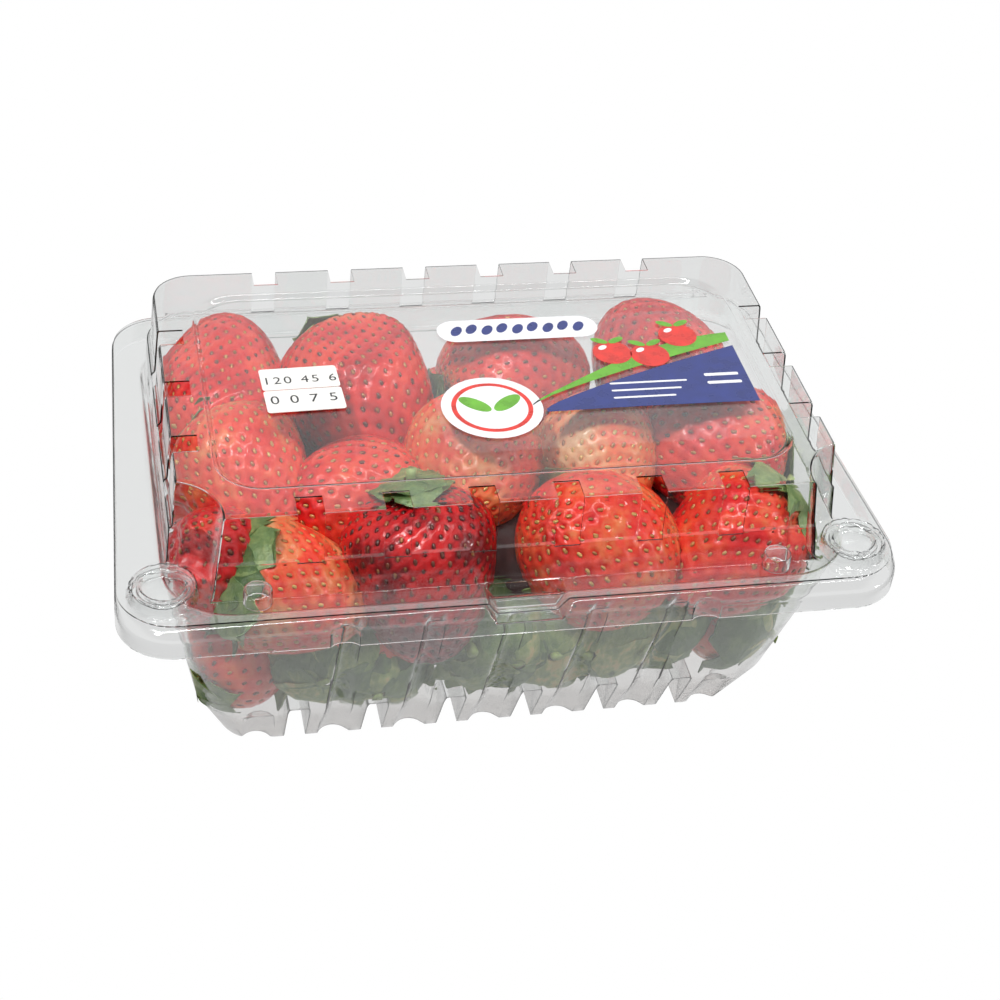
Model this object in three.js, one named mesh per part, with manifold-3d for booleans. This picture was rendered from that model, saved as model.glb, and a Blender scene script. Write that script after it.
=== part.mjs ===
// A shut clear punnet of strawberries: ribbed tub, hinged lid, film label, price sticker, fruit.
// Millimetres, +Z up, front towards -Y. The origin is the middle of the footprint, on the ground.
import * as THREE from "three";
import { mergeVertices } from "three/addons/utils/BufferGeometryUtils.js";
import Module from "manifold-3d";

const wasm = await Module();
wasm.setup();

const sheet = 0.55; // thickness of the formed plastic
const slack = 0.3; // free gap between neighbouring pieces
const far = 100; // reach of a tool that cuts right through

// The pack's walls stand a little in front of the middle of its flange.
const wallMiddle = -2.6;
const pitch = 19.93; // from rib to rib along the front
const sidePitch = 21.9; // from rib to rib along each end
const cornerSteps = 5;

// Tub: half width, half depth and corner radius of the wall at each height.
const ridgeTop = 17.5;
const rimTop = 66.8;
const tubLevels = [
  { z: 0, x: 68, y: 30.4, r: 9 },
  { z: ridgeTop, x: 75, y: 38.9, r: 12 },
  { z: rimTop, x: 83, y: 56.4, r: 17 },
];

// Channels under the tub run from front to back between its seven feet.
const channelCount = 6;
const channelHalf = { bottom: 2.7, top: 2.4 };

// Flutes hollow the walls: half width and depth of the hollow at each height.
const fluteTop = 57;
const footFluteTop = 15;
const fluteForm = [
  { z: 0, half: 4, deep: 3 },
  { z: ridgeTop, half: 3, deep: 2.2 },
  { z: fluteTop, half: 2.2, deep: 1.4 },
];
const fluteSides = 10;

// Rim: a flat flange with two ears in front, a slope along its front edge and a skirt.
const flange = { back: 88.6, ear: 94, depth: 62.3, backRadius: 12, earRadius: 13 };
const rimFront = 65.2;
const rimSide = 0.6; // how far the skirt stands out at the ends
const slopeFoot = 64.8;
const skirtFoot = 60.2;

// Hinge along the back edge
const hinge = { y: 63.3, z: 67.1, radius: 0.8, length: 150 };
const flangeToBead = 0.6; // how far the tub's flange runs past the lid's to reach the bead

// Lid: half width and half depth of the wall at each height.
const lidUnder = rimTop + slack;
const lidFlangeTop = lidUnder + sheet;
const lidTop = 90;
const lidLevels = [
  { z: lidUnder, x: 81.6, y: 52.4, r: 12 },
  { z: 77.1, x: 80.8, y: 51.7, r: 11 },
  { z: 77.9, x: 80, y: 51.1, r: 11 },
  { z: lidTop, x: 79, y: 50.5, r: 10 },
];
const lidBackGap = 0.1; // the lid's flange ends this far inside the tub's nominal edge
const panel = { x: 69.8, y: 40.1, r: 11, deep: 1.3, slope: 1.2 };

// Vents cut across the lid's top edge
const vent = { width: 6.2, reach: 6.3, foot: 76.6 };
const frontVents = 6;
const sideVents = 3;

// Snap buttons in the ears; the lid's front corners are scooped out round them.
const snap = { x: 83, y: -51.5, radius: 8.2, tall: 3.2, dish: 5, floor: 1.4, draft: 0.5 };
const snapSides = 16;
const scoop = { foot: 11.2, top: 13.8, sides: 28 };

// Small lugs at the foot of the lid's front wall, and the finger notch in the middle
const lug = { x: 62, y: -56, radius: 3.4, tall: 4, sides: 12 };
const notch = { topHalf: 9.5, floorHalf: 7, back: -55.6, slope: 1, deep: 3.2 };

// Film label and price sticker, both on the lid's sunken panel
const label = { x: 26, y: -5, width: 82, depth: 56, radius: 6, thick: 0.2 };
const sticker = { x: -46, y: -4, width: 19, depth: 18, radius: 0.8, thick: 0.15, turn: 0.03 };

// Fruit: where each berry's middle is, which way its tip points, its length and its width.
const berries = [
  { at: [-58, 22, 68], tip: [0.1, 0.9, 0.3], size: [44, 33] },
  { at: [-60, -10, 67], tip: [0.3, -0.8, -0.2], size: [38, 34] },
  { at: [-27, 18, 68], tip: [0.3, -0.9, -0.2], size: [46, 41] },
  { at: [14, 24, 67], tip: [0.9, 0.2, 0.1], size: [43, 38] },
  { at: [54, 27, 68], tip: [-0.3, 0.8, 0.3], size: [42, 37] },
  { at: [-34, -16, 63], tip: [-0.6, -0.2, 0.2], size: [38, 33] },
  { at: [-3, -10, 67], tip: [-0.3, -0.9, 0.1], size: [40, 36] },
  { at: [30, -7, 66], tip: [0.5, 0.7, 0.1], size: [38, 34] },
  { at: [62, -8, 67], tip: [-0.9, 0.1, 0.1], size: [43, 37] },
  { at: [-69, -33, 60], tip: [-0.2, -0.3, 0.9], size: [34, 28] },
  { at: [-52, -36, 53], tip: [0.8, -0.4, -0.2], size: [40, 34] },
  { at: [-20, -35, 54], tip: [0.1, -0.3, -0.9], size: [47, 39] },
  { at: [23, -33, 58], tip: [-0.6, -0.3, 0.6], size: [44, 40] },
  { at: [60, -34, 56], tip: [-0.3, -0.6, -0.6], size: [41, 35] },
  { at: [-60, -24, 34], tip: [0.5, 0.8, 0.1], size: [36, 31] },
  { at: [-30, -28, 33], tip: [-0.8, -0.3, 0.2], size: [36, 30] },
  { at: [0, -28, 33], tip: [-0.2, 0.9, 0.1], size: [36, 31] },
  { at: [29, -26, 34], tip: [0.3, 0.9, 0.1], size: [37, 32] },
  { at: [60, -22, 34], tip: [-0.6, 0.7, 0.1], size: [36, 32] },
  { at: [-58, 20, 35], tip: [0.2, -0.9, 0.2], size: [38, 33] },
  { at: [-24, 22, 35], tip: [0.9, 0.2, 0.1], size: [38, 33] },
  { at: [17, 22, 36], tip: [0.9, -0.3, -0.1], size: [40, 34] },
  { at: [56, 19, 36], tip: [-0.2, -0.6, 0.8], size: [39, 34] },
  { at: [-4, 27, 52], tip: [-0.8, 0.1, -0.3], size: [36, 31] },
];
const berrySides = 9;
const berryRings = 6;
const shoulder = 0.34; // share of the length, from the stem end, where a berry is widest
const taper = 1.7;

// Leaf crown at each stem end
const crown = { points: 6, outer: 12.5, inner: 3.6, thick: 0.9, lift: -1.2 };

// The fruit's core, and the room that the fruit keeps inside the closed pack
const coreInset = 13;
const coreTop = 62;
const fruitGap = 0.4; // between fruit and plastic
const swingRoom = 2.6; // further room under the lid, for its swing past the fruit
const fruitTop = 86.4;

const plasticLook = { color: 0xdfe6e6, roughness: 0.08, metalness: 0 };

// A closed manifold solid from a geometry.
function solidOf(geometry) {
  geometry.deleteAttribute("normal");
  geometry.deleteAttribute("uv");
  const merged = mergeVertices(geometry, 1e-4);
  return new wasm.Manifold(
    new wasm.Mesh({
      numProp: 3,
      vertProperties: new Float32Array(merged.attributes.position.array),
      triVerts: new Uint32Array(merged.index.array),
    }),
  );
}

// Joins a list of solids.
function join(solids) {
  return solids.reduce((whole, piece) => whole.add(piece));
}

// A closed outline through corners [x, y, radius], each rounded by an arc.
function rounded(corners) {
  const points = [];
  corners.forEach(([x, y, r], i) => {
    const at = new THREE.Vector2(x, y);
    const last = corners[(i + corners.length - 1) % corners.length];
    const next = corners[(i + 1) % corners.length];
    const back = new THREE.Vector2(last[0] - x, last[1] - y).normalize();
    const on = new THREE.Vector2(next[0] - x, next[1] - y).normalize();
    const half = Math.acos(THREE.MathUtils.clamp(back.dot(on), -1, 1)) / 2;
    const toCentre = back.clone().add(on).normalize();
    const centre = at.clone().addScaledVector(toCentre, r / Math.sin(half));
    const start = at.clone().addScaledVector(back, r / Math.tan(half)).sub(centre);
    const sweep = Math.PI - 2 * half;
    for (let k = 0; k <= cornerSteps; k += 1) {
      const spoke = start.clone().rotateAround(new THREE.Vector2(), (sweep * k) / cornerSteps);
      points.push(spoke.add(centre));
    }
  });
  return points;
}

// A rounded rectangle of the given half sizes, centred on (cx, cy).
function rectangle(x, y, r, cx = 0, cy = wallMiddle) {
  return rounded([
    [cx - x, cy - y, r],
    [cx + x, cy - y, r],
    [cx + x, cy + y, r],
    [cx - x, cy + y, r],
  ]);
}

// A sharp-cornered box outline between two x and two y values.
function box(x0, x1, y0, y1) {
  return [
    new THREE.Vector2(x0, y0),
    new THREE.Vector2(x1, y0),
    new THREE.Vector2(x1, y1),
    new THREE.Vector2(x0, y1),
  ];
}

// A regular outline of a circle.
function circle(cx, cy, radius, sides) {
  return Array.from({ length: sides }, (_, i) => {
    const turn = (i / sides) * Math.PI * 2;
    return new THREE.Vector2(cx + radius * Math.cos(turn), cy + radius * Math.sin(turn));
  });
}

// A solid through sections { z, outline } from the lowest up, flat at both ends.
function loft(sections) {
  const count = sections[0].outline.length;
  const positions = sections.flatMap(({ z, outline }) => outline.flatMap((p) => [p.x, p.y, z]));
  const index = [];
  for (let s = 0; s + 1 < sections.length; s += 1) {
    for (let i = 0; i < count; i += 1) {
      const a = s * count + i;
      const b = s * count + ((i + 1) % count);
      index.push(a, b, b + count, a, b + count, a + count);
    }
  }
  const top = (sections.length - 1) * count;
  THREE.ShapeUtils.triangulateShape(sections[0].outline, []).forEach(([a, b, c]) => {
    index.push(a, c, b);
  });
  THREE.ShapeUtils.triangulateShape(sections.at(-1).outline, []).forEach(([a, b, c]) => {
    index.push(top + a, top + b, top + c);
  });
  const geometry = new THREE.BufferGeometry();
  geometry.setAttribute("position", new THREE.Float32BufferAttribute(positions, 3));
  geometry.setIndex(index);
  return solidOf(geometry);
}

// The value of a key at a height, between the levels of a list.
function levelAt(levels, key, z) {
  const i = Math.max(1, levels.findIndex((level) => level.z >= z));
  const [low, high] = [levels[i - 1], levels[i]];
  const share = (z - low.z) / (high.z - low.z);
  return THREE.MathUtils.lerp(low[key], high[key], share);
}

// The space that the tub's wall encloses, drawn in by inset, from a foot to a top height.
function tubSpace(inset, foot, top) {
  const between = tubLevels.map(({ z }) => z).filter((z) => z > foot && z < top);
  return loft(
    [foot, ...between, top].map((z) => {
      const [x, y, r] = ["x", "y", "r"].map((key) => levelAt(tubLevels, key, Math.min(z, rimTop)));
      return { z, outline: rectangle(x - inset, y - inset, Math.max(r - inset, 1)) };
    }),
  );
}

// One channel under the tub, grown on every face.
function channel(x, grow) {
  return loft([
    { z: -1, outline: box(x - channelHalf.bottom - grow, x + channelHalf.bottom + grow, -far, far) },
    {
      z: ridgeTop + grow,
      outline: box(x - channelHalf.top - grow, x + channelHalf.top + grow, -far, far),
    },
  ]);
}

// One flute: a tapering round hollow that follows the wall, on the side that (sx, sy) points to.
function flute(along, [sx, sy], top, grow) {
  const key = sx ? "x" : "y";
  const heights = [0, ...fluteForm.slice(1).map(({ z }) => Math.min(z, top))];
  const sections = [...new Set(heights)].map((z) => {
    const half = levelAt(fluteForm, "half", z);
    const deep = levelAt(fluteForm, "deep", z);
    const radius = (half ** 2 + deep ** 2) / (2 * deep);
    const reach = levelAt(tubLevels, key, z) + radius - deep;
    const [cx, cy] = sx ? [sx * reach, along + wallMiddle] : [along, wallMiddle + sy * reach];
    return { z, outline: circle(cx, cy, radius + grow, fluteSides) };
  });
  sections[0].z = -1;
  sections.at(-1).z += grow;
  return loft(sections);
}

// Everything that is pressed into the tub from outside, grown by the sheet for its inner face.
function tubPressings(grow) {
  const tools = [];
  for (let i = 0; i < channelCount; i += 1) {
    tools.push(channel((i - (channelCount - 1) / 2) * pitch, grow));
  }
  for (const side of [-1, 1]) {
    for (let k = -3; k <= 3; k += 1) {
      const top = Math.abs(k) === 3 ? footFluteTop : fluteTop;
      tools.push(flute(k * pitch, [0, side], top, grow));
    }
    for (let k = -1; k <= 1; k += 1) tools.push(flute(k * sidePitch, [side, 0], fluteTop, grow));
  }
  return join(tools);
}

// The flange's outline with its ears, its edges moved by the given amounts.
function flangeOutline(front, side, back) {
  const { back: x0, ear: x1, backRadius, earRadius } = flange;
  return rounded([
    [-x1 - side, -front, earRadius],
    [x1 + side, -front, earRadius],
    [x0 + side, back, backRadius],
    [-x0 - side, back, backRadius],
  ]);
}

// A snap button as a solid of revolution; grow draws its walls in or out and shifts its faces.
function snapButton(side, base, grow) {
  const { radius, tall, dish, floor, draft } = snap;
  const profile = [
    [0, -tall],
    [radius + grow, -tall],
    [radius + grow, 0],
    [radius - draft + grow, tall],
    [dish - grow, tall],
    [dish - draft - grow, floor],
    [0, floor],
  ].map(([r, z]) => new THREE.Vector2(r, z));
  const geometry = new THREE.LatheGeometry(profile, snapSides);
  geometry.rotateX(Math.PI / 2);
  geometry.translate(side * snap.x, snap.y, base + grow);
  return solidOf(geometry);
}

// The finger notch in the middle of the front edge, open forwards and upwards.
function fingerNotch(base, grow) {
  const { topHalf, floorHalf, back, slope, deep } = notch;
  const edge = (half, y) => box(-half - grow, half + grow, -far, y + grow);
  return loft([
    { z: base - deep - grow, outline: edge(floorHalf, back - slope) },
    { z: base, outline: edge(topHalf, back) },
    { z: base + far, outline: edge(topHalf, back) },
  ]);
}

// The rim seen from outside (grow 0), or the space under it (grow minus the sheet).
function rimSpace(grow, foot) {
  const back = flange.depth + flangeToBead + grow;
  const low = flangeOutline(rimFront + grow, rimSide + grow, back);
  return loft([
    { z: foot, outline: low },
    { z: slopeFoot + grow / 2, outline: low },
    { z: rimTop + grow, outline: flangeOutline(flange.depth + grow / 2, grow, back) },
  ]);
}

function makeTub() {
  const nest = sheet + slack; // the tub's snaps and notch lie this far inside the lid's
  const snaps = (grow) => join([-1, 1].map((side) => snapButton(side, lidFlangeTop, grow - nest)));
  const notchOuter = fingerNotch(lidFlangeTop, nest);
  const notchInner = fingerNotch(lidFlangeTop, nest + sheet);
  const underRim = rimSpace(-sheet, skirtFoot - 1).add(snaps(-sheet)).subtract(notchInner);
  const rim = rimSpace(0, skirtFoot).add(snaps(0)).subtract(underRim);
  const bead = new THREE.CylinderGeometry(hinge.radius, hinge.radius, hinge.length, 12);
  bead.rotateZ(Math.PI / 2);
  bead.translate(0, hinge.y, hinge.z);
  const walls = tubSpace(0, 0, rimTop).subtract(tubPressings(0));
  const inside = tubSpace(sheet, sheet, rimTop + 1)
    .subtract(tubPressings(sheet))
    .subtract(notchInner);
  return join([rim, walls, solidOf(bead)]).subtract(inside).subtract(notchOuter);
}

// The scoops at the lid's two front corners, as one pair of tapering posts.
function cornerScoops(grow) {
  const post = (side) =>
    loft([
      { z: lidFlangeTop, outline: circle(side * snap.x, snap.y, scoop.foot + grow, scoop.sides) },
      { z: lidTop + 1, outline: circle(side * snap.x, snap.y, scoop.top + grow, scoop.sides) },
    ]);
  return join([post(-1), post(1)]);
}

// The space that the lid's wall encloses, drawn in by inset.
function lidSpace(inset, foot) {
  const sections = lidLevels.map(({ z, x, y, r }) => ({
    z: Math.min(z, lidTop - inset),
    outline: rectangle(x - inset, y - inset, r - inset),
  }));
  const tall = loft([{ ...sections[0], z: foot }, ...sections.slice(1)]);
  return tall.subtract(cornerScoops(inset));
}

// The sunken panel in the lid's top.
function sunkenPanel(grow) {
  const { x, y, r, deep, slope } = panel;
  return loft([
    { z: lidTop - deep - grow, outline: rectangle(x - slope + grow, y - slope + grow, r) },
    { z: lidTop + 1, outline: rectangle(x + grow, y + grow, r) },
  ]);
}

// One vent: a slot over the lid's top edge, on the side that (sx, sy) points to.
function ventSlot(along, [sx, sy]) {
  const top = lidLevels.at(-1);
  const half = vent.width / 2;
  const reach = [(sx ? top.x : top.y) - vent.reach, far].map((v) => v * (sx || sy));
  const [low, high] = reach.sort((a, b) => a - b);
  const outline = sx
    ? box(low, high, wallMiddle + along - half, wallMiddle + along + half)
    : box(along - half, along + half, wallMiddle + low, wallMiddle + high);
  return loft([
    { z: vent.foot, outline },
    { z: lidTop + 1, outline },
  ]);
}

function ventSlots() {
  const slots = [];
  for (const side of [-1, 1]) {
    for (let i = 0; i < frontVents; i += 1) {
      slots.push(ventSlot((i - (frontVents - 1) / 2) * pitch, [0, side]));
    }
    for (let i = 0; i < sideVents; i += 1) {
      slots.push(ventSlot((i - (sideVents - 1) / 2) * sidePitch, [side, 0]));
    }
  }
  return join(slots);
}

// A lug on the lid's flange, as a plain post.
function lugPost(side, grow) {
  const outline = circle(side * lug.x, lug.y, lug.radius + grow, lug.sides);
  return loft([
    { z: lidUnder - 1, outline },
    { z: lidFlangeTop + lug.tall + grow, outline },
  ]);
}

function makeLid() {
  const plate = (reach, foot, top) => {
    const outline = flangeOutline(flange.depth + reach, reach, flange.depth - lidBackGap + reach);
    return loft([
      { z: foot, outline },
      { z: top, outline },
    ]);
  };
  const formed = (grow, base) =>
    base
      .add(snapButton(-1, lidFlangeTop, grow))
      .add(snapButton(1, lidFlangeTop, grow))
      .add(lugPost(-1, grow))
      .add(lugPost(1, grow))
      .add(lidSpace(-grow, lidUnder - 1))
      .subtract(sunkenPanel(-grow))
      .subtract(fingerNotch(lidFlangeTop, -grow));
  const lowest = lidFlangeTop - notch.deep - sheet;
  const outside = formed(0, plate(0, lowest, lidFlangeTop));
  const under = formed(-sheet, plate(1, lowest - 1, lidFlangeTop - sheet));
  return outside.subtract(under).subtract(ventSlots());
}

// A flat piece with rounded corners that lies on the lid's sunken panel.
function makeFlat({ x, y, width, depth, radius, thick, turn = 0 }) {
  const shape = new THREE.Shape(rectangle(width / 2, depth / 2, radius, 0, 0));
  const geometry = new THREE.ExtrudeGeometry(shape, { depth: thick, bevelEnabled: false });
  geometry.rotateZ(turn);
  geometry.translate(x, y, lidTop - panel.deep + slack);
  return solidOf(geometry);
}

// One berry: a turned cone with full shoulders and a round tip, laid along its own axis.
function berrySolid({ at, tip, size: [length, width] }) {
  const profile = [];
  for (let i = 0; i <= berryRings; i += 1) {
    const along = (1 - Math.cos((Math.PI * i) / berryRings)) / 2;
    const past = along < shoulder ? (shoulder - along) / shoulder : (along - shoulder) / (1 - shoulder);
    const round = Math.sqrt(Math.max(0, 1 - past ** (along < shoulder ? 2 : taper)));
    const radius = i % berryRings ? (round * width) / 2 : 0;
    profile.push(new THREE.Vector2(radius, (along - 0.5) * length));
  }
  const geometry = new THREE.LatheGeometry(profile, berrySides);
  return solidOf(placed(geometry, at, tip));
}

// The leaf crown of one berry: a thin star across its stem end.
function crownSolid({ at, tip, size: [length] }) {
  const star = Array.from({ length: crown.points * 2 }, (_, i) => {
    const radius = i % 2 ? crown.inner : crown.outer;
    const turn = (Math.PI * i) / crown.points;
    return new THREE.Vector2(radius * Math.cos(turn), radius * Math.sin(turn));
  });
  const geometry = new THREE.ExtrudeGeometry(new THREE.Shape(star), {
    depth: crown.thick,
    bevelEnabled: false,
  });
  geometry.rotateX(Math.PI / 2);
  geometry.translate(0, -length / 2 - crown.lift, 0);
  return solidOf(placed(geometry, at, tip));
}

// Turns a geometry made along +Y to point along tip, and moves it to its place.
function placed(geometry, at, tip) {
  const aim = new THREE.Vector3(...tip).normalize();
  const turn = new THREE.Quaternion().setFromUnitVectors(new THREE.Vector3(0, 1, 0), aim);
  geometry.applyQuaternion(turn);
  geometry.translate(...at);
  return geometry;
}

// The heap: every berry and crown on a plain core, kept clear of the tub and of the lid's swing.
function makeHeap() {
  const core = tubSpace(coreInset, ridgeTop + sheet + fruitGap, coreTop);
  const fruit = join([core, ...berries.map(berrySolid), ...berries.map(crownSolid)]);
  const clear = sheet + fruitGap;
  const inTub = tubSpace(clear, clear, rimTop).subtract(tubPressings(clear));
  const inLid = lidSpace(clear + swingRoom, rimTop - 1).subtract(sunkenPanel(clear));
  const ceiling = loft([
    { z: 0, outline: box(-far, far, -far, far) },
    { z: fruitTop, outline: box(-far, far, -far, far) },
  ]);
  const trimmed = fruit.intersect(inTub.add(inLid)).intersect(ceiling);
  return trimmed.decompose().reduce((a, b) => (b.volume() > a.volume() ? b : a));
}

function meshOf(name, solid, look) {
  const { vertProperties, triVerts } = solid.getMesh();
  const geometry = new THREE.BufferGeometry();
  geometry.setAttribute("position", new THREE.BufferAttribute(vertProperties, 3));
  geometry.setIndex(new THREE.BufferAttribute(triVerts, 1));
  geometry.computeVertexNormals();
  const mesh = new THREE.Mesh(geometry, new THREE.MeshStandardMaterial(look));
  mesh.name = name;
  return mesh;
}

const punnet = new THREE.Group();
punnet.add(
  meshOf("tub", makeTub(), plasticLook),
  meshOf("lid", makeLid(), plasticLook),
  meshOf("film_label", makeFlat(label), { color: 0x2c3a78, roughness: 0.3, metalness: 0 }),
  meshOf("price_sticker", makeFlat(sticker), { color: 0xf4f2ec, roughness: 0.6, metalness: 0 }),
  meshOf("berries", makeHeap(), { color: 0xb81d24, roughness: 0.4, metalness: 0 }),
);

export default punnet;
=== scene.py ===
# A shut clear punnet of strawberries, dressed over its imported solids.
# The dictionaries hold millimetres in the pack's own frame; putMesh turns them into metres.
import math

import bmesh
import bpy
import numpy as np
from mathutils import Matrix, Vector


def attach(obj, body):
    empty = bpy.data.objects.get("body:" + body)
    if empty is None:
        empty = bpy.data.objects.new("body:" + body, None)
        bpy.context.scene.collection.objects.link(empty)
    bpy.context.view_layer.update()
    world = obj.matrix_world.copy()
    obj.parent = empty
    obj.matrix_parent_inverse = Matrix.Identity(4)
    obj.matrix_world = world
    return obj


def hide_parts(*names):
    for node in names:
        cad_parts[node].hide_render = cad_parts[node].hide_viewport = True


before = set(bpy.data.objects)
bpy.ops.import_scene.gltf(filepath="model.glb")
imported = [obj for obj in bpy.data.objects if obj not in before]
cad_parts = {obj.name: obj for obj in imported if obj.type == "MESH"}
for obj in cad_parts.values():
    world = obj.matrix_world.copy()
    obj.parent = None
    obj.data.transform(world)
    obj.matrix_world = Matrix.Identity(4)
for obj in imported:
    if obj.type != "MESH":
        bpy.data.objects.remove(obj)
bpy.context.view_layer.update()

scene = bpy.context.scene
mm = 0.001

# What the tub and the lid share
pack = {
    "middle": -2.6,  # the walls stand a little in front of the flange's middle
    "pitch": 19.93,  # from rib to rib along the front
    "sidePitch": 21.9,
    "wall": 0.4,
    "rimTop": 66.8,
    "flangeTop": 67.65,
    "top": 90.0,
    "ear": 94.0,
    "back": 88.6,
    "depth": 62.3,
    "earRadius": 13.0,
    "backRadius": 12.0,
    "cornerSteps": 18,
    "linkSteps": 5,  # samples between the shared columns and a corner
    "frontShared": 54.0,
    "sideShared": 26.5,
    "sideSpare": 0.4,  # what the shared rows leave of a straight side at each end
}
snap = {"x": 83.0, "y": -51.5, "reach": 10.0}
notch = {"half": 9.5, "side": 2.5, "back": -55.6, "slope": 1.0, "deep": 3.2}


# A new object in the scene for a mesh, lamp, curve or camera.
def placed(name, data):
    made = bpy.data.objects.new(name, data)
    scene.collection.objects.link(made)
    return made


# Puts points and faces into a mesh object at the origin, in metres, with doubles merged.
def putMesh(name, points, faces, material, flat=False, merge=True):
    mesh = bpy.data.meshes.new(name)
    mesh.from_pydata((np.asarray(points, float) * mm).tolist(), [], faces)
    if merge:
        work = bmesh.new()
        work.from_mesh(mesh)
        bmesh.ops.remove_doubles(work, verts=work.verts, dist=1e-6)
        bmesh.ops.dissolve_degenerate(work, edges=work.edges, dist=1e-7)
        work.to_mesh(mesh)
        work.free()
    mesh.polygons.foreach_set("use_smooth", [not flat] * len(mesh.polygons))
    mesh.materials.append(material)
    return placed(name, mesh)


# Gives a sheet its thickness, away from the side that its faces look to, and keeps its cut edges crisp.
def thicken(piece, thick, crisp=math.radians(38)):
    wall = piece.modifiers.new("wall", "SOLIDIFY")
    wall.thickness = thick * mm
    wall.offset = -1
    wall.use_rim = True
    mesh = bpy.data.meshes.new_from_object(piece.evaluated_get(bpy.context.evaluated_depsgraph_get()))
    piece.modifiers.clear()
    mesh.set_sharp_from_angle(angle=crisp)
    mesh.name = piece.name
    piece.data = mesh


# Samples from 0 to an end: even steps, with the close ones of each feature kept exactly.
def sampled(end, step, features):
    close = np.unique(np.round(np.concatenate(features), 3))
    close = close[(close >= 0) & (close <= end)]
    even = np.linspace(0, end, round(end / step) + 1)
    free = np.abs(even[:, None] - close[None]).min(1) > step / 2
    return np.unique(np.concatenate([even[free], close]))


# Places on both sides of the walls' middle line, from the places on one side.
def bothWays(half):
    return pack["middle"] + np.concatenate([-half[:0:-1], half])


# One section of a wall: half width, half depth and corner radius at a height.
def wallSection(z, x, y, r, scoop=0.0):
    return np.array([x, pack["middle"] - y, x, pack["middle"] + y, r, r, scoop, z])


# One section of the rim: how far its front, ends and back lie out at a height.
def rimSection(z, front, side, back):
    ear, tail = pack["ear"] + side, pack["back"] + side
    return np.array([ear, -front, tail, back, pack["earRadius"], pack["backRadius"], 0.0, z])


# How far two sections lie apart, by their front lines.
def sectionGap(a, b):
    return math.hypot(a[1] - b[1], a[7] - b[7], a[0] - b[0])


# Sections along a path: each bend is a short parabola, and long stretches are split.
def softPath(keys, soft, gap):
    bends = [[keys[0]]]
    for before, key, after, size in zip(keys[:-2], keys[1:-1], keys[2:], soft):
        if not size:
            bends.append([key])
            continue
        start = key + (before - key) * min(size / sectionGap(before, key), 0.45)
        end = key + (after - key) * min(size / sectionGap(after, key), 0.45)
        t = np.linspace(0, 1, 4)[:, None]
        bends.append(list((1 - t) ** 2 * start + 2 * t * (1 - t) * key + t**2 * end))
    bends.append([keys[-1]])
    stops = [section for bend in bends for section in bend]
    path = []
    for a, b in zip(stops[:-1], stops[1:]):
        count = max(1, math.ceil(sectionGap(a, b) / gap))
        path.extend(a + (b - a) * k / count for k in range(count))
    return np.array(path + [stops[-1]])


# Rounded corners for all rings at once: a centre, and an arc from one side's line to the next.
def cornerArc(corner, going, leaving, radius):
    turn = np.arccos(np.clip((going * leaving).sum(1), -1, 1))
    left = np.stack([-going[:, 1], going[:, 0]], 1)
    centre = corner - going * (radius * np.tan(turn / 2))[:, None] + left * radius[:, None]
    angle = turn[:, None] * np.linspace(0, 1, pack["cornerSteps"])
    x = -left[:, :1] * np.cos(angle) + left[:, 1:] * np.sin(angle)
    y = -left[:, :1] * np.sin(angle) - left[:, 1:] * np.cos(angle)
    return centre[:, None] + radius[:, None, None] * np.stack([x, y], 2)


# Corners scooped out round the snap: the circle's arc between the front and the side line.
def scoopArc(sideX, frontY, radius):
    dy, dx = frontY - snap["y"], sideX - snap["x"]
    first = np.arctan2(dy, -np.sqrt(np.maximum(radius**2 - dy**2, 0))) % (2 * math.pi)
    last = np.arctan2(np.sqrt(np.maximum(radius**2 - dx**2, 0)), dx)
    angle = first[:, None] + (last - first)[:, None] * np.linspace(0, 1, pack["cornerSteps"])
    circle = np.stack([np.cos(angle), np.sin(angle)], 2) * radius[:, None, None]
    return circle + np.array([snap["x"], snap["y"]])


# Values between two ends, ring by ring, without the ends.
def between(start, end):
    t = np.linspace(0, 1, pack["linkSteps"] + 2)[1:-1]
    return start[:, None] + (end - start)[:, None] * t


# The right half of each ring from the middle of the front round to the middle of the back.
def halfRings(sections, frontX, sideY):
    xFront, yFront, xBack, yBack, rFront, rBack, scoop, z = sections.T
    near, rear = np.stack([xFront, yFront], 1), np.stack([xBack, yBack], 1)
    side = (rear - near) / np.linalg.norm(rear - near, axis=1)[:, None]
    ahead = np.tile([1.0, 0.0], (len(z), 1))
    nearArc = cornerArc(near, ahead, side, rFront)
    nearArc[scoop > 0] = scoopArc(xFront, yFront, scoop)[scoop > 0]
    rearArc = cornerArc(rear, side, -ahead, rBack)
    shared = np.tile(frontX, (len(z), 1))
    frontLine = np.concatenate([shared, between(shared[:, -1], nearArc[:, 0, 0])], 1)
    backLine = np.concatenate([shared, between(shared[:, -1], rearArc[:, -1, 0])], 1)[:, ::-1]
    low, high = nearArc[:, -1], rearArc[:, 0]
    straight = np.minimum(high[:, 1] - pack["middle"], pack["middle"] - low[:, 1]) - pack["sideSpare"]
    fitting = np.minimum(straight / pack["sideShared"], 1)  # a short side draws its rows together
    rows = pack["middle"] + (sideY - pack["middle"]) * fitting[:, None]
    ys = np.concatenate([between(low[:, 1], rows[:, 0]), rows, between(rows[:, -1], high[:, 1])], 1)
    share = (ys - low[:, 1:]) / (high[:, 1:] - low[:, 1:])
    xs = low[:, :1] + (high[:, :1] - low[:, :1]) * share
    frontPlan = np.stack([frontLine, np.broadcast_to(yFront[:, None], frontLine.shape)], 2)
    backPlan = np.stack([backLine, np.broadcast_to(yBack[:, None], backLine.shape)], 2)
    plan = np.concatenate([frontPlan, nearArc, np.stack([xs, ys], 2), rearArc, backPlan], 1)
    return np.concatenate([plan, np.broadcast_to(z[:, None, None], plan[:, :, :1].shape)], 2)


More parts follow.
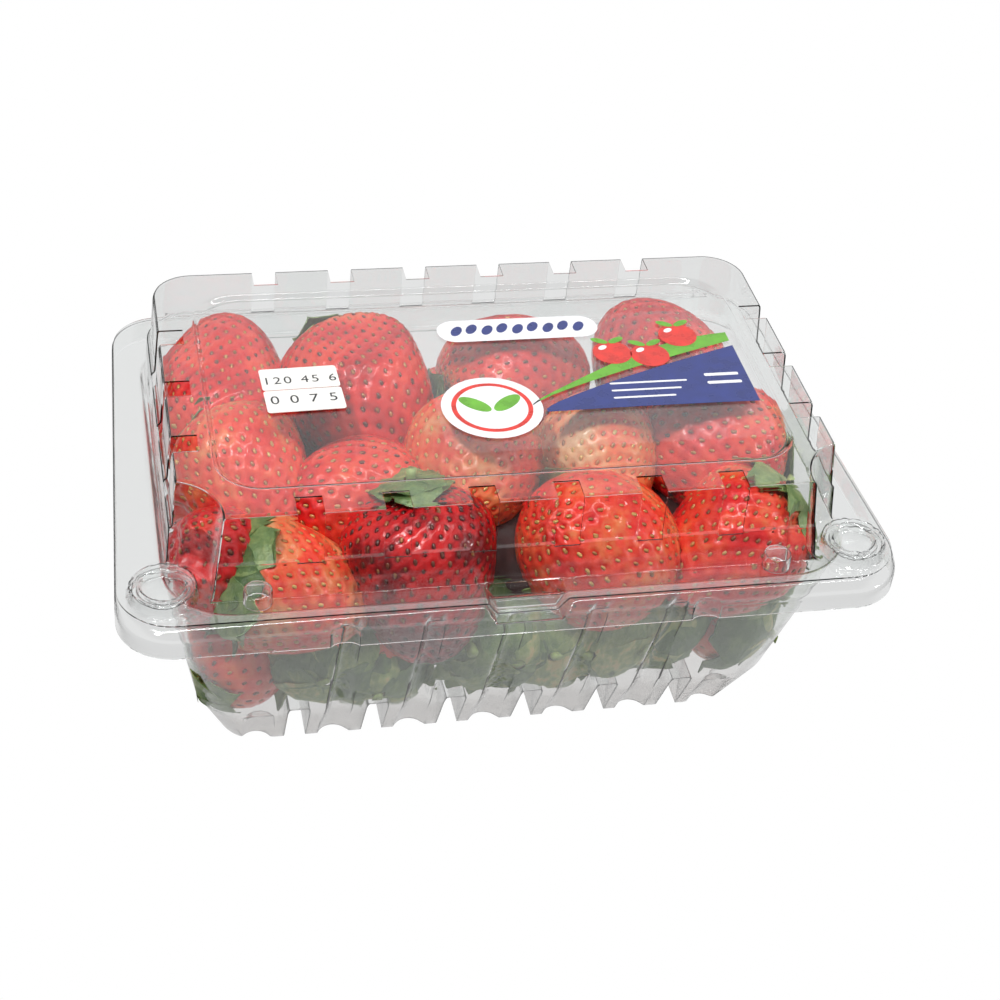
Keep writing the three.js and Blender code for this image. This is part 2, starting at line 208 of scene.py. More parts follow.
# Whole rings from their right halves.
def wholeRings(half):
    return np.concatenate([half, half[:, -2:0:-1] * [-1, 1, 1]], 1)


# Rings part way between two rings, without the last.
def ruled(first, last, count):
    t = (np.arange(count) / count)[:, None, None]
    return first[None] * (1 - t) + last[None] * t


# Four-sided faces between neighbouring rings, looking out where the rings climb.
def ringFaces(rings, columns):
    row = np.arange(rings - 1)[:, None] * columns
    here = np.arange(columns)[None]
    on = (here + 1) % columns
    return np.stack([row + here, row + on, row + on + columns, row + here + columns], 2)


# How deep the finger notch lies under a point of the flange.
def notchDepth(x, y, grow=0.0):
    side = (notch["half"] + grow - np.abs(x)) / notch["side"]
    back = (notch["back"] + grow - y) / notch["slope"]
    return notch["deep"] * np.clip(np.minimum(side, back), 0, 1)


# Tub: levels of the wall from the feet up, then the rim
tub = {
    "z": [0, 17.5, 66.8],
    "x": [68, 75, 83],
    "y": [30.4, 38.9, 56.4],
    "r": [9, 12, 17],
    "footBend": 1.2,
    "ridgeBend": 1.0,
    "rimBend": 1.0,
    "slopeFoot": 64.8,
    "rimFront": 65.2,
    "rimSide": 0.6,
    "rimBack": 62.9,
    "skirtFoot": 60.2,
    "channelOff": [2.05, 2.3, 2.42, 2.7, 2.85, 3.1],  # from a channel's middle line
    "channelUp": [17.5, 17.35, 16.9, 0.6, 0.12, 0],
    "floorInset": 4.5,  # from the foot's edge to the first ring of the wall
    "crease": [14.8, 15.2, 17.5, 56.7, 57.3],  # levels kept by the wall, round the ridges and flute tops
    "fluteZ": [0, 17.5, 57],
    "fluteHalf": [4, 3, 2.2],
    "fluteDeep": [3, 2.2, 1.4],
    "fluteTop": 57.0,
    "footFluteTop": 15.0,
    "thumbX": 43.0,
    "thumbRadius": 3.5,
    "thumbDeep": 1.7,
    "fluteReach": 4.2,  # columns are kept this far from a flute's middle line
    "notchEdge": (6.6, 10.6),
    "notchDrop": 0.85,  # the rim dips this far under the lid's notch
    "frontStep": 2.2,
    "sideStep": 2.5,
    "wallGap": 5.5,
    "rimGap": 1.2,
    "rimSpans": 8,
    "edgeBend": 0.9,
}


# The tub's wall at a height, as a section.
def tubSection(z, out=0.0):
    x, y, r = [float(np.interp(z, tub["z"], tub[key])) for key in "xyr"]
    return wallSection(z, x + out, y + out, r + out)


# How high the channels stand at a place along the front, each grown by a clearance.
def channelHeight(x, grow=0.0):
    along = np.abs(x) / pack["pitch"]
    middle = np.clip(np.round(along - 0.5), 0, 2) + 0.5
    off = np.abs(along - middle) * pack["pitch"]
    return np.interp(off - grow, tub["channelOff"], tub["channelUp"]) + grow


# Lifts what lies over a channel to the channel's ceiling.
def liftChannels(points):
    points[..., 2] = np.maximum(points[..., 2], channelHeight(points[..., 0]))
    return points


# Presses the flutes in: a point may not lie inside a flute's round tool.
def pressFlutes(points, grow=0.0):
    x, y, z = points[..., 0].copy(), points[..., 1] - pack["middle"], points[..., 2]
    half, deep = [np.interp(z, tub["fluteZ"], tub[key]) for key in ("fluteHalf", "fluteDeep")]
    radius = (half**2 + deep**2) / (2 * deep)
    wallY, wallX = [np.interp(z, tub["z"], tub[key]) for key in "yx"]
    reach = (radius + grow) ** 2
    for k in range(-3, 4):
        off = (x - k * pack["pitch"]) ** 2
        top = tub["footFluteTop"] if abs(k) == 3 else tub["fluteTop"]
        limit = wallY + radius - deep - np.sqrt(np.maximum(reach - off, 0))
        hit = (off < reach) & (z < top + grow)
        y = np.where(hit, np.clip(y, -limit, limit), y)
    for k in range(-1, 2):
        off = (y - k * pack["sidePitch"]) ** 2
        limit = wallX + radius - deep - np.sqrt(np.maximum(reach - off, 0))
        hit = (off < reach) & (z < tub["fluteTop"] + grow)
        x = np.where(hit, np.clip(x, -limit, limit), x)
    return np.stack([x, y + pack["middle"], z], -1)


# The floor between a ring's front and back halves: straight rows from front to back.
def floorGrid(half, front, side):
    low, high = half[:front], half[: -front - 1 : -1]
    rows = half[front - 1 : front + side + 1]
    t = (rows[:, 1] - rows[0, 1]) / (rows[-1, 1] - rows[0, 1])
    grid = low[None] * (1 - t[:, None, None]) + high[None] * t[:, None, None]
    grid[:, -1] = rows
    grid = np.concatenate([grid[:, :0:-1] * [-1, 1, 1], grid], 1)
    at = np.arange(grid.shape[0] * grid.shape[1]).reshape(grid.shape[:2])
    faces = np.stack([at[:-1, :-1], at[1:, :-1], at[1:, 1:], at[:-1, 1:]], 2)
    return grid.reshape(-1, 3), faces.reshape(-1, 4)


# The tub: rings of the wall from the feet up, then of the rim and its thumb dents, over the shared
# columns and rows, joined to the floor's grid.
def makeTub(material):
    t = pack["wall"]
    offs = np.array(tub["channelOff"])
    channels = [(k + 0.5) * pack["pitch"] + s * offs for k in range(3) for s in (-1, 1)]
    across = np.linspace(-tub["fluteReach"], tub["fluteReach"], 11)
    flutes = [k * pack["pitch"] + across for k in range(3)]
    notchEdges = [np.linspace(*tub["notchEdge"], 9)]
    thumb = [tub["thumbX"] + np.linspace(-tub["thumbRadius"], tub["thumbRadius"], 9)]
    frontX = sampled(pack["frontShared"], tub["frontStep"], channels + flutes + notchEdges + thumb)
    ribs = [k * pack["sidePitch"] + across for k in (0, 1)]
    sideY = bothWays(sampled(pack["sideShared"], tub["sideStep"], ribs))
    under = pack["rimTop"] - t
    keys = [tubSection(0, -tub["floorInset"]), tubSection(0)] + [tubSection(z) for z in tub["crease"]]
    keys += [tubSection(under), tubSection(under, 2)]
    soft = [tub["footBend"], 0, 0, tub["ridgeBend"], 0, 0, tub["rimBend"]]
    wall = pressFlutes(halfRings(softPath(keys, soft, tub["wallGap"]), frontX, sideY))
    edge = [
        rimSection(under, pack["depth"] - 1.2, -1.2, tub["rimBack"] - t - 1.2),
        rimSection(under, pack["depth"] - t / 2, 0, tub["rimBack"] - t),
        rimSection(tub["slopeFoot"] - t / 2, tub["rimFront"] - t, tub["rimSide"] - t, tub["rimBack"] - t),
        rimSection(tub["skirtFoot"], tub["rimFront"] - t, tub["rimSide"] - t, tub["rimBack"] - t),
    ]
    rim = halfRings(softPath(edge, [tub["edgeBend"]] * 2, tub["rimGap"]), frontX, sideY)
    rim = np.concatenate([ruled(wall[-1], rim[0], tub["rimSpans"]), rim])
    deep = notchDepth(rim[..., 0], rim[..., 1], tub["notchDrop"])
    drop = pack["flangeTop"] - deep - tub["notchDrop"] - t
    rim[..., 2] = np.where(deep > 0, np.minimum(rim[..., 2], drop), rim[..., 2])
    off = 1 - ((np.abs(rim[..., 0]) - tub["thumbX"]) / tub["thumbRadius"]) ** 2
    dent = -tub["rimFront"] + tub["thumbDeep"] * np.sqrt(np.maximum(off, 0))
    thumbed = (off > 0) & (rim[..., 1] < -pack["depth"])
    rim[..., 1] = np.where(thumbed, np.maximum(rim[..., 1], dent), rim[..., 1])
    half = np.concatenate([wall[:-1], rim])
    front = len(frontX) + pack["linkSteps"] + pack["cornerSteps"]
    floorPoints, floorFaces = floorGrid(half[0], front, half.shape[1] - 2 * front)
    rings = wholeRings(half)
    faces = ringFaces(len(rings), rings.shape[1]).reshape(-1, 4) + len(floorPoints)
    points = liftChannels(np.concatenate([floorPoints, rings.reshape(-1, 3)]))
    piece = putMesh("tubShell", points, np.concatenate([floorFaces, faces]).tolist(), material)
    thicken(piece, t)
    return piece


# Lid: levels are height, half width, half depth and corner radius
lid = {
    "levels": [(67.65, 81.6, 52.4, 12), (77.1, 80.8, 51.7, 11), (77.9, 80, 51.1, 11), (90, 79, 50.5, 10)],
    "scoopFoot": 11.2,
    "scoopTop": 13.8,
    "footBend": 1.2,
    "topBend": 1.4,
    "ventFoot": 76.6,
    "ventHalf": 3.1,
    "ventEdge": 0.2,  # columns are kept this far inside a vent's edge
    "ventReach": 6.3,
    "panel": (69.8, 40.1, 11),
    "panelDeep": 1.3,
    "panelSlope": 1.2,
    "backEdge": 62.2,
    "flangeSpans": 34,
    "topSpans": 4,
    "frontStep": 1.8,
    "sideStep": 2.0,
    "wallGap": 3.0,
    "panelGap": 1.5,
    "notchEdge": (6.6, 10.2),
    "snapRadius": [10, 8.6, 8.25, 8.1, 7.75, 7.4, 5.4, 5.05, 4.65, 4.3, 0],
    "snapHeight": [0, 0, 0.12, 0.45, 2.95, 3.2, 3.2, 2.95, 1.6, 1.4, 1.4],
    "lugX": 62.0,
    "lugY": -56.0,
    "lugRadius": [3.4, 3.35, 3.2, 2.7, 0],
    "lugHeight": [0, 3.2, 3.75, 4, 4],
}


# The lid's wall at a level, with its scooped front corners.
def lidSection(z, x, y, r, out=0.0):
    scoop = np.interp(z, [pack["flangeTop"], pack["top"] + 1], [lid["scoopFoot"], lid["scoopTop"]])
    return wallSection(z, x + out, y + out, r + out, scoop - out)


# Moves the flange's points near a snap onto the snap's turned profile, by their distance from it.
def raiseSnaps(points):
    profile = np.stack([lid["snapRadius"], lid["snapHeight"]], 1)
    length = np.concatenate([[0], np.cumsum(np.linalg.norm(np.diff(profile, axis=0), axis=1))])
    for side in (-1, 1):
        centre = np.array([side * snap["x"], snap["y"]])
        off = points[..., :2] - centre
        far = np.linalg.norm(off, axis=-1)
        run = length[-1] * (1 - far / snap["reach"])
        radius = np.interp(run, length, profile[:, 0])
        lift = np.interp(run, length, profile[:, 1])
        near = far < snap["reach"]
        moved = centre + off * (radius / np.maximum(far, 1e-6))[..., None]
        points[..., :2] = np.where(near[..., None], moved, points[..., :2])
        points[..., 2] += np.where(near, lift, 0)
    return points


# Which columns lie over a vent: all columns between the two edges of a slot.
def ventColumns(ring, frontLike):
    if frontLike:
        place = np.abs(ring[:, 0]) / pack["pitch"]
        off = np.abs(place - (np.clip(np.round(place - 0.5), 0, 2) + 0.5)) * pack["pitch"]
        return (off < lid["ventHalf"] + 0.01) & (np.abs(ring[:, 0]) < pack["frontShared"])
    place = (ring[:, 1] - pack["middle"]) / pack["sidePitch"]
    off = np.abs(place - np.clip(np.round(place), -1, 1)) * pack["sidePitch"]
    return off < lid["ventHalf"] + 0.01


# The lid: rings from the skirt over the flange with its snaps, up the wall, and over the top down into
# the sunk panel; the faces between a vent's edges are left out.
def makeLid(material):
    levels = lid["levels"]
    wide, narrow = lid["ventHalf"], lid["ventHalf"] - lid["ventEdge"]
    slot = np.array([-wide, -narrow, 0, narrow, wide])
    edges = [(k + 0.5) * pack["pitch"] + slot for k in range(3)]
    frontX = sampled(pack["frontShared"], lid["frontStep"], edges + [np.linspace(*lid["notchEdge"], 9)])
    sideY = bothWays(sampled(pack["sideShared"], lid["sideStep"], [slot, pack["sidePitch"] + slot]))
    foot = levels[0]
    share = (lid["ventFoot"] - levels[0][0]) / (levels[1][0] - levels[0][0])
    slotFoot = lidSection(*[a + (b - a) * share for a, b in zip(levels[0], levels[1])])
    top = levels[-1]
    keys = [lidSection(*foot, out=1.2), lidSection(*foot), slotFoot]
    keys += [lidSection(*level) for level in levels[1:]] + [lidSection(*top, out=-1.5)]
    soft = [lid["footBend"], 0, 0.4, 0.4, lid["topBend"]]
    wall = halfRings(softPath(keys, soft, lid["wallGap"]), frontX, sideY)
    edge = halfRings(rimSection(pack["flangeTop"], pack["depth"], 0, lid["backEdge"])[None], frontX, sideY)
    flange = raiseSnaps(ruled(edge[0], wall[0], lid["flangeSpans"]))
    low = np.concatenate([flange, wall])
    inFront = (low[..., 2] < pack["flangeTop"] + 1) & (low[..., 1] < notch["back"])
    low[..., 2] -= np.where(inFront, notchDepth(low[..., 0], low[..., 1]), 0)
    reach = lid["ventReach"]
    slotEnd = halfRings(wallSection(pack["top"], top[1] - reach, top[2] - reach, 11)[None], frontX, sideY)
    x, y, r = lid["panel"]
    slope, floor = lid["panelSlope"], pack["top"] - lid["panelDeep"]
    panelKeys = [wallSection(pack["top"], x + 1, y + 1, r + 1), wallSection(pack["top"], x, y, r)]
    panelKeys += [wallSection(floor, x - slope, y - slope, r), wallSection(floor, x - 4, y - 4, r - 2)]
    panel = halfRings(softPath(panelKeys, [0.6, 0.6], lid["panelGap"]), frontX, sideY)
    shelf = [ruled(low[-1], slotEnd[0], lid["topSpans"]), ruled(slotEnd[0], panel[0], 2)]
    half = np.concatenate([low[:-1], *shelf, panel])
    rings = wholeRings(half)
    columns = rings.shape[1]
    faces = ringFaces(len(rings), columns)
    first = int(np.argmin(np.abs(half[:, 0, 2] - lid["ventFoot"]) + (half[:, 0, 1] > -40) * 99))
    last = len(low) - 1 + lid["topSpans"]
    front = len(frontX) + pack["linkSteps"]
    sideStart = front + pack["cornerSteps"]
    sideEnd = half.shape[1] - sideStart
    index = np.minimum(np.arange(columns), (2 * half.shape[1] - 2) - np.arange(columns))
    over = np.where(
        (index < front) | (index >= half.shape[1] - front),
        ventColumns(rings[first], True),
        ventColumns(rings[first], False) & (index >= sideStart) & (index < sideEnd),
    )
    vents = np.zeros(faces.shape[:2], bool)
    vents[first:last] = over & np.roll(over, -1)
    kept = faces[~vents].tolist()
    kept.append((np.arange(columns) + (len(rings) - 1) * columns).tolist())
    piece = putMesh("lidShell", rings.reshape(-1, 3), kept, material)
    thicken(piece, pack["wall"])
    return piece


# A turned form: a profile carried round an upright axis at each of several places.
def turned(name, radii, heights, places, material, sides=40):
    angle = np.arange(sides) / sides * 2 * math.pi
    circle = np.stack([np.cos(angle), np.sin(angle), np.zeros(sides)], 1)
    rings = np.array(radii)[:, None, None] * circle + np.array(heights)[:, None, None] * [0, 0, 1]
    points = np.concatenate([rings.reshape(-1, 3) + place for place in places])
    one = ringFaces(len(radii), sides).reshape(-1, 4)
    faces = np.concatenate([one + k * rings.shape[0] * sides for k in range(len(places))])
    return putMesh(name, points, faces.tolist(), material)


# Two domes on the flange, turned from one profile.
def makeLugs(material):
    places = [(s * lid["lugX"], lid["lugY"], pack["flangeTop"]) for s in (-1, 1)]
    piece = turned("lidLugs", lid["lugRadius"], lid["lugHeight"], places, material)
    thicken(piece, pack["wall"])
    return piece


cup = {"inset": 0.75, "drop": 0.85, "outer": 6.0, "wall": 0.3}


# The tub's snap cups, nested under the lid's: the same profile, drawn in and closed by thickness.
def makeTubSnaps(material):
    inset = [-cup["inset"] if r > cup["outer"] else cup["inset"] for r in lid["snapRadius"][1:-1]]
    radii = [max(r + step, 0.0) for r, step in zip(lid["snapRadius"][1:-1], inset)] + [0.0]
    places = [(s * snap["x"], snap["y"], pack["flangeTop"] - cup["drop"]) for s in (-1, 1)]
    piece = turned("tubSnaps", radii, lid["snapHeight"][1:], places, material)
    thicken(piece, cup["wall"])
    return piece


hinge = {"y": 63.3, "z": 67.1, "radius": 0.8, "length": 150.0, "sides": 16, "fold": 0.12}


# The hinge bead: a round profile carried along the back edge, with faint pinches, ends closed.
def makeHinge(material):
    along = np.linspace(-hinge["length"] / 2, hinge["length"] / 2, 121)
    angle = np.arange(hinge["sides"]) / hinge["sides"] * 2 * math.pi
    radius = hinge["radius"] * (1 - hinge["fold"] * (np.sin(along / 2.4) > 0.6))
    x = np.repeat(along[:, None], hinge["sides"], 1)
    y = hinge["y"] + radius[:, None] * np.cos(angle)
    z = hinge["z"] + radius[:, None] * np.sin(angle)
    rings = np.stack([x, y, z], 2)
    faces = ringFaces(len(along), hinge["sides"]).reshape(-1, 4).tolist()
    last = (len(along) - 1) * hinge["sides"]
    faces.append(list(range(hinge["sides"]))[::-1])
    faces.append([last + k for k in range(hinge["sides"])])
    return putMesh("hingeBead", rings.reshape(-1, 3), faces, material)


# Label and price sticker, on the floor of the lid's panel
label = {
    "x": 26.0,
    "y": -5.0,
    "width": 82.0,
    "depth": 56.0,
    "radius": 6.0,
    "low": 89.0,
    "thick": 0.08,
    "ink": 0.02,
    "badge": (-1.2, -15.6),
    "badgeSizes": (25, 20, 17.6),  # white field, red ring and the white inside it
    "badgeLeaf": (9, 4, 0.7),
    "disc": 10.0,
    "discs": [(34.0, 5.0), (43.5, 3.2), (53.0, 11.4)],
    "shine": (2.6, 1.6, 0.6),  # width, depth and turn
    "cap": (4.6, 2, 0.5),
    "pill": (12, 17.6, 42, 9.6, 4.7),
    "bead": (2.6, 4.6, -0.5),
}
sticker = {
    "x": -46.0,
    "y": -4.0,
    "width": 19.0,
    "depth": 18.0,
    "radius": 0.8,
    "low": 89.0,
    "thick": 0.12,
    "turn": 0.03,
    "slit": 0.25,
    "rows": [("120 45 6", 4.1, -0.1, 2.6), ("0 0 7 5", 4.6, 0.1, -5.6)],  # digits, size and place
}


# An outline with rounded corners: the rectangle's corner arcs, swept in turn.
def roundedBox(x, y, width, depth, radius, steps=9):
    turn = np.linspace(0, math.pi / 2, steps)
    corners = []
    for k, (sx, sy) in enumerate([(1, 1), (-1, 1), (-1, -1), (1, -1)]):
        angle = turn + k * math.pi / 2
        cx, cy = x + sx * (width / 2 - radius), y + sy * (depth / 2 - radius)
        corners.append(np.stack([cx + radius * np.cos(angle), cy + radius * np.sin(angle)], 1))
    return np.concatenate(corners)


# An ellipse, turned by an angle.
def oval(x, y, width, depth, turn=0.0, steps=48):
    angle = np.arange(steps) / steps * 2 * math.pi
    u, v = width / 2 * np.cos(angle), depth / 2 * np.sin(angle)
    c, s = math.cos(turn), math.sin(turn)
    return np.stack([x + u * c - v * s, y + u * s + v * c], 1)


# An outline between two curves over the same x: the lower line, then the upper one back.
def band(x, low, high):
    return np.concatenate([np.stack([x, low], 1), np.stack([x, high], 1)[::-1]])


# Points and faces of a thin closed plate: an outline at two heights, with its side faces and both ends.
def plate(outline, low, high):
    count = len(outline)
    rings = [np.column_stack([outline, np.full(count, z)]) for z in (low, high)]
    sides = ringFaces(2, count).reshape(-1, 4).tolist()
    return np.concatenate(rings), sides + [list(range(count))[::-1], list(range(count, 2 * count))]


# One piece from many thin plates.
def plates(name, outlines, low, thick, material):
    points, faces, start = [], [], 0
    for outline in outlines:
        p, f = plate(outline, low, low + thick)
        points.append(p)
        faces.extend([[i + start for i in face] for face in f])
        start += len(p)
    return putMesh(name, np.concatenate(points), faces, material, flat=True)


# The generic face: a white pill with a row of beads, a round badge with two leaves, a navy sweep
# with plain rules under a green one, and red discs.
def makeLabel(inks):
    low, ink = label["low"], label["ink"]
    layer = [low + label["thick"] + ink * k for k in range(4)]
    sheet = roundedBox(label["x"], label["y"], label["width"], label["depth"], label["radius"])
    t = np.linspace(0, 1, 41)
    navy = band(12 + 54.2 * t, -18.6 + 1.2 * t * (1 - t), -17.4 + 23.2 * t**0.8)
    green = band(9 + 57 * t, -15.6 + 23.6 * t**0.8, -15.2 + 27 * t**0.8 + 5 * np.sin(math.pi * t) * t)
    x, y = label["badge"]
    badge = [oval(x, y, size, size) for size in label["badgeSizes"]]
    dots = [oval(px, py, label["disc"], label["disc"]) for px, py in label["discs"]]
    shine = [oval(px - 2, py + 2.4, *label["shine"]) for px, py in label["discs"]]
    wide, deep, turn = label["cap"]
    caps = [oval(px + 2.2 * s, py + 5.4, wide, deep, turn * s) for px, py in label["discs"] for s in (-1, 1)]
    wide, deep, turn = label["badgeLeaf"]
    leaves = [oval(x + 4 * s, y + 1.5, wide, deep, turn * s) for s in (-1, 1)]
    pill = roundedBox(*label["pill"])
    beads = [oval(-4 + 4 * k, label["pill"][1] + 0.7 * (k % 2), *label["bead"]) for k in range(9)]
    rules = [roundedBox(40 - 1.2 * k, -8.4 - 3 * k, 20 - 2 * k, 0.7, 0.3) for k in range(3)]
    rules += [roundedBox(59.5, -6.6 - 3.4 * k, 9, 1.2, 0.5) for k in range(2)]
    return [
        plates("labelFilm", [sheet], low, label["thick"], inks["film"]),
        plates("printWhite", [pill, badge[0]], layer[0], ink, inks["white"]),
        plates("printNavy", [navy], layer[1], ink, inks["navy"]),
        plates("printGreen", [green], layer[0], ink, inks["green"]),
        plates("printRed", [badge[1]] + dots, layer[2], ink, inks["red"]),
        plates("printPale", [badge[2]] + rules + shine, layer[3], ink, inks["white"]),
        plates("printLeaf", leaves + caps, layer[3] + ink, ink, inks["green"]),
        plates("printBeads", beads, layer[1], ink, inks["navy"]),
    ]


# Flat lettering from plain digits, as a mesh in its place.
def digits(name, text, size, x, y, z, turn, material):
    curve = bpy.data.curves.new(name, "FONT")
    curve.body = text
    curve.size = size * mm
    curve.align_x = "CENTER"
    curve.extrude = 0.01 * mm
    curve.space_character = 1.25
    words = placed(name + "Curve", curve)
    mesh = bpy.data.meshes.new_from_object(words.evaluated_get(bpy.context.evaluated_depsgraph_get()))
    bpy.data.objects.remove(words)
    place = Matrix.Translation((x * mm, y * mm, z * mm)) @ Matrix.Rotation(turn, 4, "Z")
    mesh.transform(place)
    work = bmesh.new()
    work.from_mesh(mesh)
    bmesh.ops.remove_doubles(work, verts=work.verts, dist=1e-6)
    work.to_mesh(mesh)
    work.free()
    mesh.materials.clear()
    mesh.materials.append(material)
    return placed(name, mesh)


# The price sticker: two paper halves with a slit between them, plain digits on each.
def makeSticker(paper, ink):
    half = sticker["depth"] / 2
    outlines = []
    turn = sticker["turn"]
    spin = np.array([[math.cos(turn), math.sin(turn)], [-math.sin(turn), math.cos(turn)]])
    for side in (-1, 1):
        depth = half - sticker["slit"] / 2
        outline = roundedBox(0, side * (half - depth / 2), sticker["width"], depth, sticker["radius"])
        outlines.append(outline @ spin + [sticker["x"], sticker["y"]])
    made = [plates("priceSticker", outlines, sticker["low"], sticker["thick"], paper)]
    top = sticker["low"] + sticker["thick"] + 0.01
    for name, (text, size, x, y) in zip(("upperDigits", "lowerDigits"), sticker["rows"]):
        made.append(digits(name, text, size, sticker["x"] + x, sticker["y"] + y, top, turn, ink))
    return made


# Fruit
# Each berry: its middle, the way its tip points, length, width, ripeness (0 pale, 1 deep) and leaf reach.
heap = [
    {"at": (-62, 23, 68), "tip": (0.1, 0.9, 0.3), "size": (50, 38), "ripe": 0.62, "leaf": 9},
    {"at": (-60, -10, 67), "tip": (0.3, -0.8, -0.2), "size": (38, 34), "ripe": 0.42, "leaf": 8},
    {"at": (-27, 18, 68), "tip": (0.3, -0.9, -0.2), "size": (46, 41), "ripe": 0.66, "leaf": 10},
    {"at": (14, 24, 67), "tip": (0.9, 0.2, 0.1), "size": (43, 38), "ripe": 0.6, "leaf": 9},
    {"at": (54, 27, 68), "tip": (-0.3, 0.8, 0.3), "size": (42, 37), "ripe": 0.66, "leaf": 12},
    {"at": (-34, -16, 63), "tip": (-0.6, -0.2, 0.2), "size": (38, 33), "ripe": 0.58, "leaf": 9},
    {"at": (-3, -10, 67), "tip": (-0.3, -0.9, 0.1), "size": (40, 36), "ripe": 0.28, "leaf": 9},
    {"at": (30, -7, 66), "tip": (0.5, 0.7, 0.1), "size": (38, 34), "ripe": 0.3, "leaf": 9},
    {"at": (60, -8, 67), "tip": (-0.9, 0.1, 0.1), "size": (41, 37), "ripe": 0.6, "leaf": 11},
    {"at": (-69, -33, 60), "tip": (-0.2, -0.3, 0.9), "size": (34, 28), "ripe": 0.66, "leaf": 12},
    {"at": (-51, -36, 53), "tip": (0.85, -0.1, -0.3), "size": (40, 34), "ripe": 0.33, "leaf": 19},
    {"at": (-20, -35, 54), "tip": (0.1, -0.3, -0.9), "size": (47, 39), "ripe": 0.9, "leaf": 9},
    {"at": (23, -33, 58), "tip": (-0.6, -0.3, 0.6), "size": (44, 40), "ripe": 0.44, "leaf": 14},
    {"at": (58, -34, 56), "tip": (-0.75, -0.35, -0.45), "size": (41, 36), "ripe": 0.54, "leaf": 17},
    {"at": (-62, -22, 27), "tip": (0.7, 0.6, 0.3), "size": (38, 33), "ripe": 0.6, "leaf": 11},
    {"at": (-30, -28, 33), "tip": (-0.8, -0.3, 0.2), "size": (36, 30), "ripe": 0.35, "leaf": 17},
    {"at": (0, -28, 33), "tip": (-0.2, 0.9, 0.1), "size": (36, 31), "ripe": 0.5, "leaf": 20},
    {"at": (29, -26, 34), "tip": (0.3, 0.9, 0.1), "size": (37, 32), "ripe": 0.55, "leaf": 20},
    {"at": (61, -21, 29), "tip": (-0.6, 0.7, 0.1), "size": (38, 34), "ripe": 0.4, "leaf": 19},
    {"at": (-58, 20, 35), "tip": (0.2, -0.9, 0.2), "size": (38, 33), "ripe": 0.6, "leaf": 14},
    {"at": (-24, 22, 35), "tip": (0.9, 0.2, 0.1), "size": (38, 33), "ripe": 0.5, "leaf": 13},
    {"at": (17, 22, 36), "tip": (0.9, -0.3, -0.1), "size": (40, 34), "ripe": 0.7, "leaf": 13},
    {"at": (56, 19, 36), "tip": (-0.2, -0.6, 0.8), "size": (39, 34), "ripe": 0.55, "leaf": 14},
    {"at": (-4, 27, 52), "tip": (-0.8, 0.1, -0.3), "size": (36, 31), "ripe": 0.45, "leaf": 12},
]
berry = {
    "seed": 7,
    "front": 9,  # the heap's tenth to fourteenth berries lie at the front
    "upper": 14,  # the first berries of the heap, which show through the lid, get the finer grid
    "fine": (116, 76),
    "plain": (84, 56),
    "shoulder": 0.34,
    "taper": 1.7,
    "lobe": 0.035,
    "lean": 0.05,
    "pit": 0.07,  # hollow round the stem, as a share of the length
    "spacing": (3.1, 3.9),  # from achene to achene, on the upper and the lower berries
    "dimple": 0.85,
    "dimpleReach": 1.05,
    "acheneSize": (0.85, 0.52, 0.34),
    "acheneGrid": (5, 2),
    "gap": 1.15,  # from the outside of the pack's wall
    "lidGap": 3.5,
    "top": 86.3,
    "floor": [13.0, 9.0],  # in the feet along the front, and in the wide feet at both ends
    "floorAt": [52.0, 60.0],
    "clearance": 1.0,  # from the channels
    "blend": (60.0, 7.0),  # where the tub's walls give way to the lid's, and over what height
    "scoopAt": [60, 67, 90],
    "scoop": [0, 12.4, 14],  # radius of the lid's scooped corners
    "paleReach": 0.16,  # the skin pales round the stem, less on a ripe berry
    "pale": (0.55, 0.45),
    "blush": 0.08,
    "seat": 0.62,  # how deep an achene sits, as a share of its dimple
    "acheneVary": (0.85, 1.2),
    "toneVary": (-0.35, 0.2),
}


# Three unit directions of a berry: along its tip, and two across it.
def axesOf(one):
    aim = np.array(one["tip"], float)
    aim /= np.linalg.norm(aim)
    across = np.cross(aim, [0.31, 0.17, 0.93])
    across /= np.linalg.norm(across)
    return aim, across, np.cross(aim, across)


# A soft stop: the value bends over to its limit within about a millimetre.
def softStop(value, limit, soft=0.5):
    return value - soft * np.logaddexp(0, (value - limit) / soft)


# Keeps points inside the shut pack: a soft stop at each wall, the scoops, the top and the floor, which
# lies lower in the feet than over the channels.
def pressInside(points, gap):
    z = points[..., 2]
    blend = np.clip((z - berry["blend"][0]) / berry["blend"][1], 0, 1)
    lidZ, lidX, lidY = np.array(lid["levels"]).T[:3]
    tubX, tubY = [np.interp(z, tub["z"], tub[key]) - gap for key in "xy"]
    wallX = tubX + (np.interp(z, lidZ, lidX) - berry["lidGap"] - tubX) * blend
    wallY = tubY + (np.interp(z, lidZ, lidY) - berry["lidGap"] - tubY) * blend
    x = np.sign(points[..., 0]) * softStop(np.abs(points[..., 0]), wallX)
    y = points[..., 1] - pack["middle"]
    y = np.sign(y) * softStop(np.abs(y), wallY) + pack["middle"]
    off = np.stack([np.abs(x) - snap["x"], y - snap["y"]], -1)
    far = np.maximum(np.linalg.norm(off, axis=-1), 1e-6)
    scoop = np.interp(z, berry["scoopAt"], berry["scoop"]) + berry["lidGap"]
    push = np.where(z > 61, np.maximum(scoop - far, 0), 0)
    x, y = np.sign(x) * (np.abs(x) + off[..., 0] / far * push), y + off[..., 1] / far * push
    foot = np.interp(np.abs(x), berry["floorAt"], berry["floor"])
    floor = np.maximum(foot, channelHeight(x, berry["clearance"]))
    z = -softStop(-softStop(z, berry["top"]), -floor)
    return pressFlutes(np.stack([x, y, z], -1), gap)


